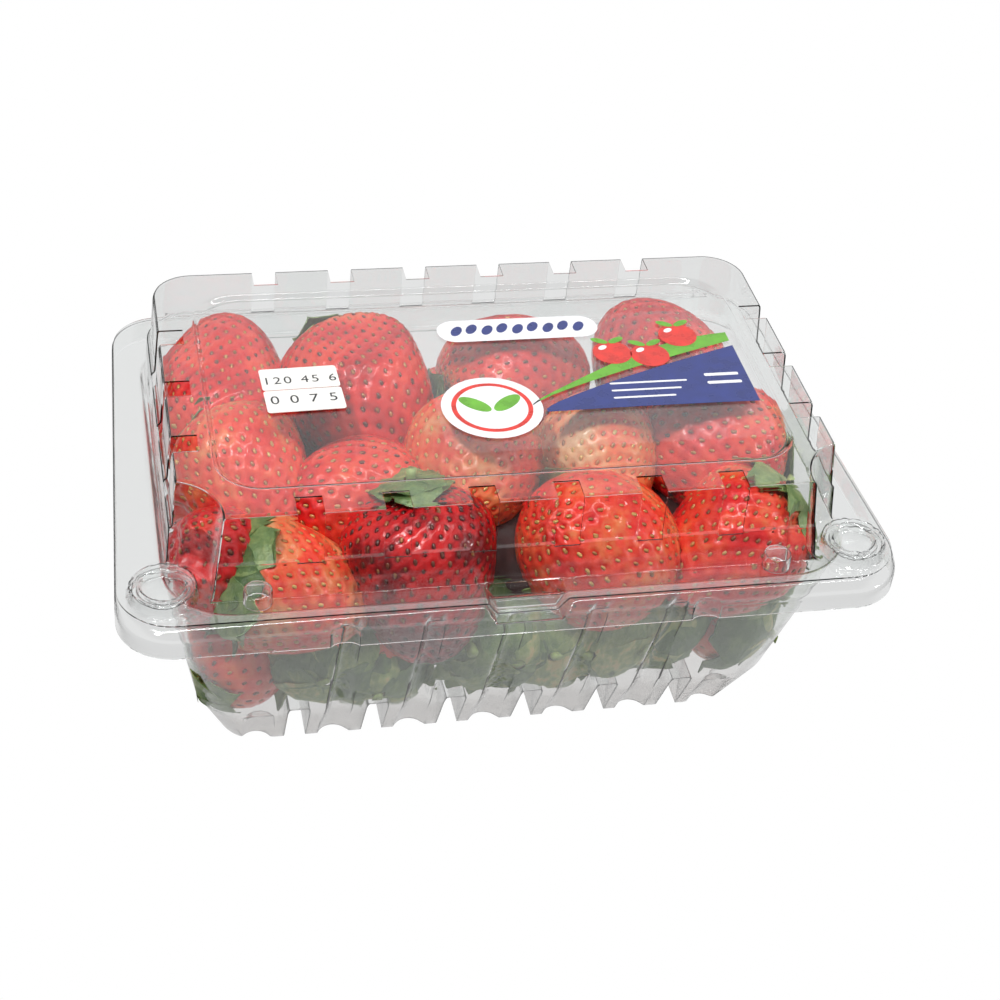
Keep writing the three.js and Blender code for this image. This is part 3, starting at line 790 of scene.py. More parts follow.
# A berry's skin at turns a and places h from stem (0) to tip (1): a lobed, slightly bent cone.
def berryForm(one, shape, a, h):
    aim, across, beside = axesOf(one)
    length, width = one["size"]
    low = h < shape["shoulder"]
    past = np.where(low, 1 - h / shape["shoulder"], (h - shape["shoulder"]) / (1 - shape["shoulder"]))
    swell = np.sqrt(np.clip(1 - np.clip(past, 0, 1) ** np.where(low, 2, shape["taper"]), 0, 1))
    lobes = sum(size * np.cos(k * a + phase + h * 1.5) for k, size, phase in shape["lobes"])
    radius = width / 2 * swell * (1 + lobes * np.sin(math.pi * np.clip(h * 1.25, 0, 1)))
    lean = shape["lean"] * width * np.sin(math.pi * h) ** 2
    pit = berry["pit"] * length * np.exp(-((radius / (0.2 * width)) ** 2)) * (h < 0.2)
    along = (h - 0.5) * length + pit
    x = radius * np.cos(a) + lean * math.cos(shape["turn"])
    y = radius * np.sin(a) + lean * math.sin(shape["turn"])
    return x[..., None] * across + y[..., None] * beside + along[..., None] * aim + np.array(one["at"])


# The same skin, pressed inside the pack's walls.
def berrySkin(one, shape, a, h):
    return pressInside(berryForm(one, shape, a, h), berry["gap"])


# Each berry's own unevenness, from a seeded draw.
def shapeOf(draw):
    lobes = [(k, draw.uniform(0.3, 1) * berry["lobe"] * 2 / k, draw.uniform(0, 6.3)) for k in (2, 3, 4)]
    return {
        "lobes": lobes,
        "lean": draw.uniform(-1, 1) * berry["lean"],
        "turn": draw.uniform(0, 6.3),
        "phase": draw.uniform(0, 6.3),
        "shoulder": berry["shoulder"] + draw.uniform(-0.05, 0.05),
        "taper": berry["taper"] + draw.uniform(-0.15, 0.35),
    }


# Where the achenes sit: a golden-angle spiral, even over the skin's area.
def acheneSpots(one, shape, spacing):
    length, width = one["size"]
    count = int(math.pi * length * width * 0.8 / (0.87 * spacing**2))
    h = np.linspace(0, 1, 201)
    skin = berryForm(one, shape, np.zeros_like(h), h)
    run = np.linalg.norm(np.diff(skin, axis=0), axis=1)
    band = run * np.interp((h[1:] + h[:-1]) / 2, [0, 0.3, 1], [0.7, 1, 0.25])
    area = np.concatenate([[0], np.cumsum(band)]) / band.sum()
    rank = (np.arange(count) + 0.5) / count * 0.93 + 0.06
    spotH = np.interp(rank, area, h)
    spotA = (np.arange(count) * math.pi * (3 - math.sqrt(5)) + shape["phase"]) % (2 * math.pi)
    return spotA, spotH


# Directions on the skin at some spots: out of it, and along it towards the tip.
def skinFrame(one, shape, a, h):
    step = 2e-3
    down = berrySkin(one, shape, a, np.minimum(h + step, 1)) - berrySkin(one, shape, a, h - step)
    across = berrySkin(one, shape, a + step * 6, h) - berrySkin(one, shape, a - step * 6, h)
    out = np.cross(across, down)
    out /= np.maximum(np.linalg.norm(out, axis=1), 1e-9)[:, None]
    down /= np.maximum(np.linalg.norm(down, axis=1), 1e-9)[:, None]
    outward = np.sign((out * (berrySkin(one, shape, a, h) - np.array(one["at"]))).sum(1))
    return berrySkin(one, shape, a, h), out * outward[:, None], down


# A closed grid's faces: a pole, rings of four-sided faces and another pole.
def poleFaces(rings, around, start):
    here = np.arange(around)
    on = (here + 1) % around
    first, last = start, start + 1 + rings * around
    cap = [[first, first + 1 + k, first + 1 + j] for j, k in zip(here.tolist(), on.tolist())]
    base = first + 1 + (rings - 1) * around
    foot = [[last, base + j, base + k] for j, k in zip(here.tolist(), on.tolist())]
    grid = (ringFaces(rings, around).reshape(-1, 4) + first + 1).tolist()
    return cap + foot + grid


# One berry as points, faces and values: the skin with a dimple round every achene.
def berryMesh(one, shape, grid, spots, start):
    around, along = grid
    a = np.arange(around) / around * 2 * math.pi
    h = (1 - np.cos(np.linspace(0, 1, along + 2)[1:-1] * math.pi)) / 2
    turns, places = np.meshgrid(a, h)
    skin = berrySkin(one, shape, turns.ravel(), places.ravel())
    ends = berrySkin(one, shape, np.zeros(2), np.array([0.0, 1.0]))
    points = np.concatenate([ends[:1], skin, ends[1:]])
    place = np.concatenate([[0.0], places.ravel(), [1.0]])
    middle = np.array(one["at"], float)
    out = points - middle
    out /= np.linalg.norm(out, axis=1)[:, None]
    off = ((points[:, None] - spots[None]) ** 2).sum(2)
    near = np.exp(-off.min(1) / berry["dimpleReach"] ** 2)
    points = points - out * (berry["dimple"] * near)[:, None]
    return points, poleFaces(along, around, start), place, near * (place < 0.995)


# The small grain that every achene copies: a pointed oval of few faces.
def acheneForm():
    around, along = berry["acheneGrid"]
    a = np.arange(around) / around * 2 * math.pi
    t = np.linspace(0, 1, along + 2)[1:-1] * math.pi
    across = [np.outer(np.sin(t), np.cos(a)), np.outer(np.sin(t), np.sin(a))]
    ring = np.stack([np.outer(-np.cos(t), np.ones(around))] + across, 2)
    points = np.concatenate([[[-1.0, 0, 0]], ring.reshape(-1, 3), [[1.0, 0, 0]]])
    return points * berry["acheneSize"]


# All berries of a part of the heap in one piece, and their achenes for another.
def makeBerries(name, chosen, grid, spacing, material):
    points, faces, ripe, dimpleShade, grains, tones = [], [], [], [], [], []
    start = 0
    form = acheneForm()
    for index in chosen:
        one = heap[index]
        draw = np.random.default_rng(berry["seed"] + index)
        shape = shapeOf(draw)
        a, h = acheneSpots(one, shape, spacing)
        here, out, down = skinFrame(one, shape, a, h)
        p, f, place, near = berryMesh(one, shape, grid, here, start)
        start += len(p)
        points.append(p)
        faces.extend(f)
        most, less = berry["pale"]
        pale = np.exp(-((place / berry["paleReach"]) ** 2)) * (most - less * one["ripe"])
        ripe.append(np.clip(one["ripe"] - pale + berry["blush"] * (place - 0.5), 0, 1))
        dimpleShade.append(near)
        beside = np.cross(out, down)
        basis = np.stack([down, beside, out], 1)
        grain = (form[None] * draw.uniform(*berry["acheneVary"], (len(h), 1, 1))) @ basis
        grains.append(here[:, None] + grain - out[:, None] * (berry["dimple"] * berry["seat"]))
        tone = np.clip(one["ripe"] + draw.uniform(*berry["toneVary"], len(h)), 0, 1)
        tones.append(np.repeat(tone, len(form)))
    piece = putMesh(name, np.concatenate(points), faces, material, merge=False)
    paint(piece, "ripeness", np.concatenate(ripe))
    # The dimple weight, which the skin's material turns into painted shade.
    paint(piece, "dent", np.concatenate(dimpleShade))
    return piece, np.concatenate(grains), np.concatenate(tones)


# Stores one number for each point of a piece, for its material to read.
def paint(piece, name, values):
    if len(values) != len(piece.data.vertices):
        raise ValueError(f"{piece.name}: {len(values)} values for {len(piece.data.vertices)} points")
    layer = piece.data.attributes.new(name, "FLOAT", "POINT")
    layer.data.foreach_set("value", np.asarray(values, np.float32))


# All achenes as one mesh: one small grid of faces repeated, with a tone for each grain.
def makeAchenes(grains, tones, material):
    each = grains.shape[1]
    around, along = berry["acheneGrid"]
    grid = poleFaces(along, around, 0)
    starts = range(0, len(grains) * each, each)
    faces = [[i + start for i in face] for start in starts for face in grid]
    piece = putMesh("achenes", grains.reshape(-1, 3), faces, material, merge=False)
    paint(piece, "tone", tones)
    return piece


# Crowns of berries that lie deeper, whose leaves press against the front wall and the right end
tufts = [
    {"at": (-42, -26, 32), "tip": (0.1, 1, 0.1), "size": (36, 32), "leaf": 18},
    {"at": (-12, -27, 42), "tip": (-0.2, 1, 0.2), "size": (34, 32), "leaf": 15},
    {"at": (15, -26, 31), "tip": (0.1, 1, -0.1), "size": (36, 32), "leaf": 18},
    {"at": (42, -25, 34), "tip": (0.2, 1, 0.1), "size": (36, 32), "leaf": 19},
    {"at": (64, -25, 46), "tip": (-0.5, 1, 0.2), "size": (34, 30), "leaf": 15},
    {"at": (-30, -24, 26), "tip": (0, 1, 0.3), "size": (34, 30), "leaf": 14},
    {"at": (68, 0, 55), "tip": (-0.5, 0.5, -0.7), "size": (30, 28), "leaf": 15},
]
leaf = {
    "seed": 40,
    "count": 7,
    "rows": 15,
    "columns": 7,
    "width": 11.0,
    "over": 1.6,
    "base": 1.6,
    "fold": 0.22,
    "ruffle": 0.55,
    "lift": 3.2,
    "thick": 0.28,
    "gap": 0.6,
    "teeth": (0.05, 26),  # depth as a share of the width, and turns along the leaf
    "curl": 0.8,
    "unevenTurn": (-0.25, 0.25),
    "reachVary": (0.78, 1.15),
    "widthVary": (0.8, 1.2),
    "liftVary": (-0.2, 1),
    "stemRadius": 1.15,
    "stemLength": 7.0,
    "stemFoot": 3.0,  # how far a stem starts inside its berry
    "stemBend": 1.6,
    "stemFlare": 0.25,
    "stemGrid": (8, 6),
}


# One leaf of a crown: it follows the berry's shoulder, folds along its rib and lifts at its tip.
def leafGrid(one, reach, turn, width, lift, phase):
    aim, across, beside = axesOf(one)
    length, berryWidth = one["size"]
    s = np.linspace(0, 1, leaf["rows"])[:, None]
    w = np.linspace(-1, 1, leaf["columns"])[None]
    out = math.cos(turn) * across + math.sin(turn) * beside
    side = -math.sin(turn) * across + math.cos(turn) * beside
    far = leaf["base"] + reach * s
    depth, turns = leaf["teeth"]
    teeth = 1 + depth * np.abs(w) ** 3 * np.sin(turns * s + phase)
    span = width / 2 * (0.3 + 0.85 * np.sin(math.pi * s**0.85)) * (1 - s**7) * w * teeth
    inside = np.clip(far / (berryWidth / 2), 0, 0.98)
    drop = berry["shoulder"] * length * (1 - np.sqrt(1 - inside**2))
    ruffle = leaf["ruffle"] * np.sin(7 * s + phase) * np.abs(w)
    up = leaf["over"] + lift * s**2 - leaf["fold"] * np.abs(span) + ruffle
    curl = leaf["curl"] * np.sin(2.4 * s + phase) * s
    points = far[..., None] * out + (span + curl)[..., None] * side
    points = points + (drop - up - length / 2)[..., None] * aim
    return pressInside(points + np.array(one["at"]), leaf["gap"])


# All leaves as one mesh: each crown's leaves stand round its berry at uneven angles, and each leaf has
# its own length, width, lift and tone.
def makeLeaves(material):
    points, faces, tones = [], [], []
    start = 0
    rows, columns = leaf["rows"], leaf["columns"]
    at = np.arange(rows * columns).reshape(rows, columns)
    one = np.stack([at[:-1, :-1], at[:-1, 1:], at[1:, 1:], at[1:, :-1]], 2).reshape(-1, 4)
    for index, fruit in enumerate(heap + tufts):
        draw = np.random.default_rng(leaf["seed"] + index)
        count = leaf["count"] + int(draw.integers(0, 3))
        first = draw.uniform(0, 6.3)
        for k in range(count):
            turn = first + 2 * math.pi * (k + draw.uniform(*leaf["unevenTurn"])) / count
            reach = fruit["leaf"] * draw.uniform(*leaf["reachVary"])
            width = leaf["width"] * draw.uniform(*leaf["widthVary"]) * (fruit["leaf"] / 12) ** 0.5
            lift = leaf["lift"] * draw.uniform(*leaf["liftVary"])
            grid = leafGrid(fruit, reach, turn, width, lift, draw.uniform(0, 6.3))
            points.append(grid.reshape(-1, 3))
            faces.append(one + start)
            start += rows * columns
            tones.append(draw.uniform(0, 1) * np.repeat(np.linspace(1, 0.7, rows), columns))
    faces = np.concatenate(faces).tolist()
    piece = putMesh("berryLeaves", np.concatenate(points), faces, material, merge=False)
    paint(piece, "tone", np.concatenate(tones))
    thicken(piece, leaf["thick"])
    return piece


# The stems: short bent round stalks out of each crown, closed at both ends.
def makeStems(material):
    points, faces, start = [], [], 0
    sides, rows = leaf["stemGrid"]
    angle = np.arange(sides) / sides * 2 * math.pi
    s = np.linspace(0, 1, rows)[:, None, None]
    for index, fruit in enumerate(heap + tufts):
        draw = np.random.default_rng(leaf["seed"] + 100 + index)
        aim, across, beside = axesOf(fruit)
        foot = np.array(fruit["at"]) - aim * (fruit["size"][0] / 2 - leaf["stemFoot"])
        bend = leaf["stemBend"] * draw.uniform(-1, 1, 2)
        lineUp = foot - aim * leaf["stemLength"] * s + (across * bend[0] + beside * bend[1]) * s**2
        circle = (np.cos(angle)[:, None] * across + np.sin(angle)[:, None] * beside)[None]
        rings = lineUp + circle * leaf["stemRadius"] * (1 + leaf["stemFlare"] * s)
        rings = pressInside(rings, leaf["gap"]).reshape(-1, 3)
        points.append(rings)
        faces.extend((ringFaces(rows, sides).reshape(-1, 4)[:, ::-1] + start).tolist())
        faces.append([start + k for k in range(sides)])
        faces.append([start + (rows - 1) * sides + k for k in range(sides)][::-1])
        start += len(rings)
    return putMesh("berryStems", np.concatenate(points), faces, material)


core = {"half": (66, 36, 21.5), "middle": (0, -2.6, 40.5), "power": 3.2, "bump": 2.2, "grid": (96, 48)}


# The heap's core: a box-like rounded form with soft bumps, which closes the gaps between berries with painted
# shade, a nearly black mass where only shade lies.
def makeShadeCore(material):
    around, along = core["grid"]
    a = np.arange(around) / around * 2 * math.pi
    t = np.linspace(0, 1, along + 2)[1:-1] * math.pi
    turn, tilt = np.meshgrid(a, t)
    poles = np.array([[0, 0, -1.0], [0, 0, 1.0]])
    ways = np.stack([np.sin(tilt) * np.cos(turn), np.sin(tilt) * np.sin(turn), -np.cos(tilt)], 2)
    ways = np.concatenate([poles[:1], ways.reshape(-1, 3), poles[1:]])
    power = core["power"]
    size = (np.abs(ways / core["half"]) ** power).sum(1) ** (-1 / power)
    made = ways * size[:, None]
    bumps = np.sin(made[:, 0] / 5.1) * np.sin(made[:, 1] / 4.7 + 1) * np.cos(made[:, 2] / 4.3)
    made = made + ways * (bumps * core["bump"])[:, None] + core["middle"]
    return putMesh("heapShadeCore", made, poleFaces(along, around, 0), material)


# Materials


# A new node of a type in a tree, with some of its settings and inputs.
def node(tree, kind, settings=None, inputs=None):
    made = tree.nodes.new(kind)
    for key, value in (settings or {}).items():
        setattr(made, key, value)
    for key, value in (inputs or {}).items():
        made.inputs[key].default_value = value
    return made


# The node tree of a material or world, emptied.
def emptyTree(owner):
    owner.use_nodes = True
    owner.node_tree.nodes.clear()
    return owner.node_tree


# A new material with its Principled shader and its output; an empty tree otherwise.
def newMaterial(name, inputs):
    material = bpy.data.materials.new(name)
    tree = emptyTree(material)
    skin = node(tree, "ShaderNodeBsdfPrincipled", inputs=inputs)
    out = node(tree, "ShaderNodeOutputMaterial")
    tree.links.new(skin.outputs["BSDF"], out.inputs["Surface"])
    return material, tree, skin, out


# The shared grain: noise at a size in millimetres, on Object coordinates, as a value and a bump.
def makeGrain():
    group = bpy.data.node_groups.new("softGrain", "ShaderNodeTree")
    face = group.interface
    for name, value in (("Size", 5.0), ("Detail", 2.0), ("Stretch", 1.0), ("Bump", 0.2), ("Height", 0.1)):
        socket = face.new_socket(name=name, in_out="INPUT", socket_type="NodeSocketFloat")
        socket.default_value = value
    face.new_socket(name="Value", in_out="OUTPUT", socket_type="NodeSocketFloat")
    face.new_socket(name="Normal", in_out="OUTPUT", socket_type="NodeSocketVector")
    link = group.links.new
    given, put = node(group, "NodeGroupInput"), node(group, "NodeGroupOutput")
    place = node(group, "ShaderNodeTexCoord")
    scale = node(group, "ShaderNodeMath", {"operation": "DIVIDE"}, {0: 1000.0})
    squeeze = node(group, "ShaderNodeCombineXYZ", inputs={"X": 1.0, "Y": 1.0})
    shaped = node(group, "ShaderNodeVectorMath", {"operation": "MULTIPLY"})
    noise = node(group, "ShaderNodeTexNoise", inputs={"Roughness": 0.55})
    rise = node(group, "ShaderNodeMath", {"operation": "MULTIPLY"}, {1: mm})
    bump = node(group, "ShaderNodeBump")
    link(given.outputs["Size"], scale.inputs[1])
    link(given.outputs["Stretch"], squeeze.inputs["Z"])
    link(place.outputs["Object"], shaped.inputs[0])
    link(squeeze.outputs["Vector"], shaped.inputs[1])
    link(shaped.outputs["Vector"], noise.inputs["Vector"])
    link(scale.outputs["Value"], noise.inputs["Scale"])
    link(given.outputs["Detail"], noise.inputs["Detail"])
    link(given.outputs["Height"], rise.inputs[0])
    link(rise.outputs["Value"], bump.inputs["Distance"])
    link(given.outputs["Bump"], bump.inputs["Strength"])
    link(noise.outputs["Fac"], bump.inputs["Height"])
    link(noise.outputs["Fac"], put.inputs["Value"])
    link(bump.outputs["Normal"], put.inputs["Normal"])
    return group


# Places the grain group in a tree with its own values.
def grain(tree, size, detail=2.0, stretch=1.0, bump=0.2, height=0.1):
    given = {"Size": size, "Detail": detail, "Stretch": stretch, "Bump": bump, "Height": height}
    return node(tree, "ShaderNodeGroup", {"node_tree": softGrain}, given)


# A smooth range from one span of values to another.
def spread(tree, source, low, high, toLow, toHigh):
    ends = {"From Min": low, "From Max": high, "To Min": toLow, "To Max": toHigh}
    made = node(tree, "ShaderNodeMapRange", {"interpolation_type": "SMOOTHSTEP"}, ends)
    tree.links.new(source, made.inputs["Value"])
    return made.outputs["Result"]


# A grain's value stretched over its middle range, from -1 to 1 unless other ends are given.
def grainSpan(tree, made, low=-1.0, high=1.0):
    return spread(tree, made.outputs["Value"], 0.3, 0.7, low, high)


# A colour ramp from stops of place and colour.
def ramp(tree, source, stops):
    made = node(tree, "ShaderNodeValToRGB")
    while len(made.color_ramp.elements) < len(stops):
        made.color_ramp.elements.new(0.5)
    for element, (place, color) in zip(made.color_ramp.elements, stops):
        element.position = place
        element.color = (*color, 1)
    tree.links.new(source, made.inputs["Fac"])
    return made.outputs["Color"]


# A number stored on the piece's points.
def stored(tree, name):
    return node(tree, "ShaderNodeAttribute", {"attribute_name": name}).outputs["Fac"]


# Two values added, one of them scaled.
def addScaled(tree, base, more, share):
    made = node(tree, "ShaderNodeMath", {"operation": "MULTIPLY_ADD"}, {1: share})
    tree.links.new(more, made.inputs[0])
    tree.links.new(base, made.inputs[2])
    return made.outputs["Value"]


clear = {
    "tint": (0.985, 0.992, 0.99),
    "ior": 1.5,
    "rough": (0.02, 0.07),
    "wave": 14.0,
    "waveHeight": 0.35,
    "waveBump": 0.35,
    "shade": (0.93, 0.94, 0.94, 1),
    "footShadeTint": (0.90, 0.885, 0.875),
    "footSpan": (0.021, 0.010),  # the feet are rougher, and greyer as painted shade, in metres over the ground
    "footRough": 0.2,
}


# Clear formed sheet: a glass that lets lamps through, gently waved, rougher in the feet and greyer there as
# painted shade.
def clearPlastic(name, wave, seed):
    material, tree, skin, out = newMaterial(name, {"Transmission Weight": 1.0, "IOR": clear["ior"]})
    link = tree.links.new
    waves = grain(tree, wave, 1.5, seed, clear["waveBump"], clear["waveHeight"])
    scuff = grain(tree, 3.5, 4.0, seed)
    place, parts = node(tree, "ShaderNodeTexCoord"), node(tree, "ShaderNodeSeparateXYZ")
    link(place.outputs["Object"], parts.inputs["Vector"])
    foot = spread(tree, parts.outputs["Z"], *clear["footSpan"], 0, 1)
    scuffed = spread(tree, scuff.outputs["Value"], 0.5, 0.75, *clear["rough"])
    link(addScaled(tree, scuffed, foot, clear["footRough"]), skin.inputs["Roughness"])
    # Painted shade: the sheet's tint turns greyer towards the ground.
    link(ramp(tree, foot, [(0, clear["tint"]), (1, clear["footShadeTint"])]), skin.inputs["Base Color"])
    link(waves.outputs["Normal"], skin.inputs["Normal"])
    path = node(tree, "ShaderNodeLightPath")
    either = node(tree, "ShaderNodeMath", {"operation": "MAXIMUM"})
    through = node(tree, "ShaderNodeBsdfTransparent", inputs={"Color": clear["shade"]})
    mixed = node(tree, "ShaderNodeMixShader")
    link(path.outputs["Is Shadow Ray"], either.inputs[0])
    link(path.outputs["Is Diffuse Ray"], either.inputs[1])
    link(either.outputs["Value"], mixed.inputs["Fac"])
    link(skin.outputs["BSDF"], mixed.inputs[1])
    link(through.outputs["BSDF"], mixed.inputs[2])
    link(mixed.outputs["Shader"], out.inputs["Surface"])
    return material


skinColors = [
    (0.0, (0.80, 0.47, 0.24)),
    (0.24, (0.80, 0.22, 0.08)),
    (0.45, (0.80, 0.065, 0.03)),
    (0.66, (0.68, 0.016, 0.017)),
    (0.84, (0.46, 0.006, 0.010)),
    (1.0, (0.16, 0.002, 0.005)),
]


# Berry skin: colour by ripeness and patchy noise, painted shade in the dimples round the achenes, moist gloss
# over fine pores.
def berrySkinMaterial():
    base = {"Subsurface Weight": 0.1, "Subsurface Scale": 0.002, "Coat Weight": 0.5, "Coat Roughness": 0.04}
    base["Specular IOR Level"] = 0.2
    material, tree, skin, _ = newMaterial("berrySkin", base)
    skin.inputs["Subsurface Radius"].default_value = (1.0, 0.3, 0.15)
    link = tree.links.new
    blotch, fleck, pores = grain(tree, 11, 3), grain(tree, 2.4, 3), grain(tree, 1.1, 2, 1.0, 0.45, 0.2)
    tone = addScaled(tree, stored(tree, "ripeness"), grainSpan(tree, blotch), 0.17)
    tone = addScaled(tree, tone, grainSpan(tree, fleck), 0.06)
    # Painted shade: the skin darkens in the dimples round the achenes.
    tone = addScaled(tree, tone, spread(tree, stored(tree, "dent"), 0.2, 1, 0, 1), 0.3)
    link(ramp(tree, tone, skinColors), skin.inputs["Base Color"])
    link(grainSpan(tree, blotch, 0.24, 0.4), skin.inputs["Roughness"])
    link(pores.outputs["Normal"], skin.inputs["Normal"])
    return material


# Achenes: straw to dark brown by each one's tone, with a dull gloss.
def acheneMaterial():
    material, tree, skin, _ = newMaterial("acheneHusk", {"Roughness": 0.38})
    stops = [
        (0.0, (0.62, 0.42, 0.13)),
        (0.4, (0.42, 0.18, 0.05)),
        (0.75, (0.14, 0.03, 0.014)),
        (1.0, (0.05, 0.008, 0.006)),
    ]
    husk = grain(tree, 0.5, 2, 1.0, 0.3, 0.05)
    mixed = addScaled(tree, stored(tree, "tone"), grainSpan(tree, husk), 0.1)
    tree.links.new(ramp(tree, mixed, stops), skin.inputs["Base Color"])
    tree.links.new(husk.outputs["Normal"], skin.inputs["Normal"])
    return material


# Leaf: deep to yellow green by each leaf's tone, veined by stretched noise.
def leafMaterial():
    base = {"Subsurface Weight": 0.1, "Subsurface Scale": 0.001, "Roughness": 0.45}
    material, tree, skin, _ = newMaterial("leafGreen", base)
    vein, patch = grain(tree, 1.6, 3, 0.4, 0.8, 0.4), grain(tree, 6, 3)
    stops = [
        (0.0, (0.055, 0.105, 0.03)),
        (0.35, (0.115, 0.185, 0.055)),
        (0.7, (0.22, 0.285, 0.095)),
        (0.9, (0.38, 0.40, 0.15)),
        (1.0, (0.52, 0.42, 0.18)),
    ]
    mixed = addScaled(tree, stored(tree, "tone"), grainSpan(tree, patch), 0.2)
    mixed = addScaled(tree, mixed, grainSpan(tree, vein), 0.16)
    tree.links.new(ramp(tree, mixed, stops), skin.inputs["Base Color"])
    tree.links.new(vein.outputs["Normal"], skin.inputs["Normal"])
    return material


# A plain finish whose colour varies a little around its own, with fine relief.
def tintedMaterial(name, color, rough, size, vary=0.12, height=0.05, inputs=None):
    material, tree, skin, _ = newMaterial(name, inputs or {})
    speck = grain(tree, size, 3, 1.0, 0.3, height)
    dark, light = [tuple(min(1.0, c * (1 + s * vary)) for c in color) for s in (-1, 1)]
    tree.links.new(ramp(tree, speck.outputs["Value"], [(0.3, dark), (0.7, light)]), skin.inputs["Base Color"])
    tree.links.new(grainSpan(tree, speck, rough * 0.8, rough * 1.2), skin.inputs["Roughness"])
    tree.links.new(speck.outputs["Normal"], skin.inputs["Normal"])
    return material


# Room, lamps and camera
room = {
    "white": 1.0,  # floor and sky as the camera sees them
    "floorHalf": 6.0,
    "floorLow": -0.0004,
    "floorNear": 0.75,
    "floorDark": 0.04,
    "litMiddle": (0.04, 0.07, 0),
    "litReach": (0.18, 0.23),
    "floorDiffuse": 0.32,
    "skyBright": 0.92,
    "skyDark": 0.05,
    "skyTop": 0.15,
    "skyRise": (0, 0.35),  # by the sine of the height over the horizon
    "skyFade": (0.7, 0.88),
    "skyDiffuse": 0.19,
}


# One where a path was mirrored just once; straight views and light caught in the sheet give zero.
def mirroredOnce(tree, path):
    made = node(tree, "ShaderNodeMath", {"operation": "COMPARE"}, {1: 1.0, 2: 0.5})
    tree.links.new(path.outputs["Glossy Depth"], made.inputs[0])
    return made.outputs["Value"]


# Strength of a room surface by the path that meets it: its own value for a diffuse path, white for the
# camera, the given one for a path mirrored just once, and the plain near one for any other.
def strengthBy(tree, mirrored, diffuse):
    path = node(tree, "ShaderNodeLightPath")
    link = tree.links.new
    seen = node(tree, "ShaderNodeMix", {"data_type": "FLOAT"}, {2: room["floorNear"]})
    link(mirroredOnce(tree, path), seen.inputs[0])
    link(mirrored, seen.inputs[3])
    pick = node(tree, "ShaderNodeMix", {"data_type": "FLOAT"}, {3: room["white"]})
    link(path.outputs["Is Camera Ray"], pick.inputs[0])
    link(seen.outputs[0], pick.inputs[2])
    last = node(tree, "ShaderNodeMix", {"data_type": "FLOAT"}, {3: diffuse})
    link(path.outputs["Is Diffuse Ray"], last.inputs[0])
    link(pick.outputs[0], last.inputs[2])
    return last.outputs[0]


# The floor: white to the camera; what the plastic mirrors of it falls off some way from the pack.
def makeFloor():
    material = bpy.data.materials.new("paleFloor")
    tree = emptyTree(material)
    link = tree.links.new
    glow, out = node(tree, "ShaderNodeEmission"), node(tree, "ShaderNodeOutputMaterial")
    place = node(tree, "ShaderNodeNewGeometry")
    away = node(tree, "ShaderNodeVectorMath", {"operation": "DISTANCE"}, {1: room["litMiddle"]})
    link(place.outputs["Position"], away.inputs[0])
    near = spread(tree, away.outputs["Value"], *room["litReach"], room["floorNear"], room["floorDark"])
    link(strengthBy(tree, near, room["floorDiffuse"]), glow.inputs["Strength"])
    link(glow.outputs["Emission"], out.inputs["Surface"])
    mesh = bpy.data.meshes.new("paleFloor")
    corners = [(-1, -1), (1, -1), (1, 1), (-1, 1)]
    points = [(x * room["floorHalf"], y * room["floorHalf"], room["floorLow"]) for x, y in corners]
    mesh.from_pydata(points, [], [(0, 1, 2, 3)])
    mesh.materials.append(material)
    return placed("paleFloor", mesh)


# The sky: white to the camera, and for reflections a bright belt between a dark top and a dark foot.
def makeSky():
    world = bpy.data.worlds.new("softStudio")
    scene.world = world
    tree = emptyTree(world)
    link = tree.links.new
    back = node(tree, "ShaderNodeBackground", inputs={"Color": (1, 1, 1, 1)})
    out = node(tree, "ShaderNodeOutputWorld")
    place, parts = node(tree, "ShaderNodeTexCoord"), node(tree, "ShaderNodeSeparateXYZ")
    link(place.outputs["Generated"], parts.inputs["Vector"])
    rising = spread(tree, parts.outputs["Z"], *room["skyRise"], room["skyDark"], room["skyBright"])
    fading = spread(tree, parts.outputs["Z"], *room["skyFade"], 1, room["skyTop"])
    mirrored = node(tree, "ShaderNodeMath", {"operation": "MULTIPLY"})
    link(rising, mirrored.inputs[0])
    link(fading, mirrored.inputs[1])
    link(strengthBy(tree, mirrored.outputs["Value"], room["skyDiffuse"]), back.inputs["Strength"])
    link(back.outputs["Background"], out.inputs["Surface"])


lamps = [
    {"name": "keyLamp", "at": (-0.35, -0.25, 0.90), "size": (0.07, 0.07), "power": 4.4},
    {"name": "stripLamp", "at": (0.05, -0.12, 0.95), "size": (1.1, 0.07), "power": 5.0},
    {"name": "sideLamp", "at": (0.75, -0.35, 0.40), "size": (0.10, 0.10), "power": 1.8},
]


# The lamps: rectangles, each turned from its own place towards a point in the pack.
def makeLamps():
    for one in lamps:
        lamp = bpy.data.lights.new(one["name"], "AREA")
        lamp.shape = "RECTANGLE"
        lamp.size, lamp.size_y = one["size"]
        lamp.energy = one["power"]
        way = Vector((0, 0, 0.05)) - Vector(one["at"])
        turn = way.to_track_quat("-Z", "Y").to_matrix().to_4x4()
        placed(one["name"], lamp).matrix_world = Matrix.Translation(one["at"]) @ turn


# Measured from the photograph's rim, lid and feet
view = {
    "at": (-0.0992, -0.3958, 0.3703),
    "azimuth": -15.0606,
    "elevation": 38.2409,
    "roll": 5.8958,
    "lens": 71.68,
    "sensor": 36.0,
}


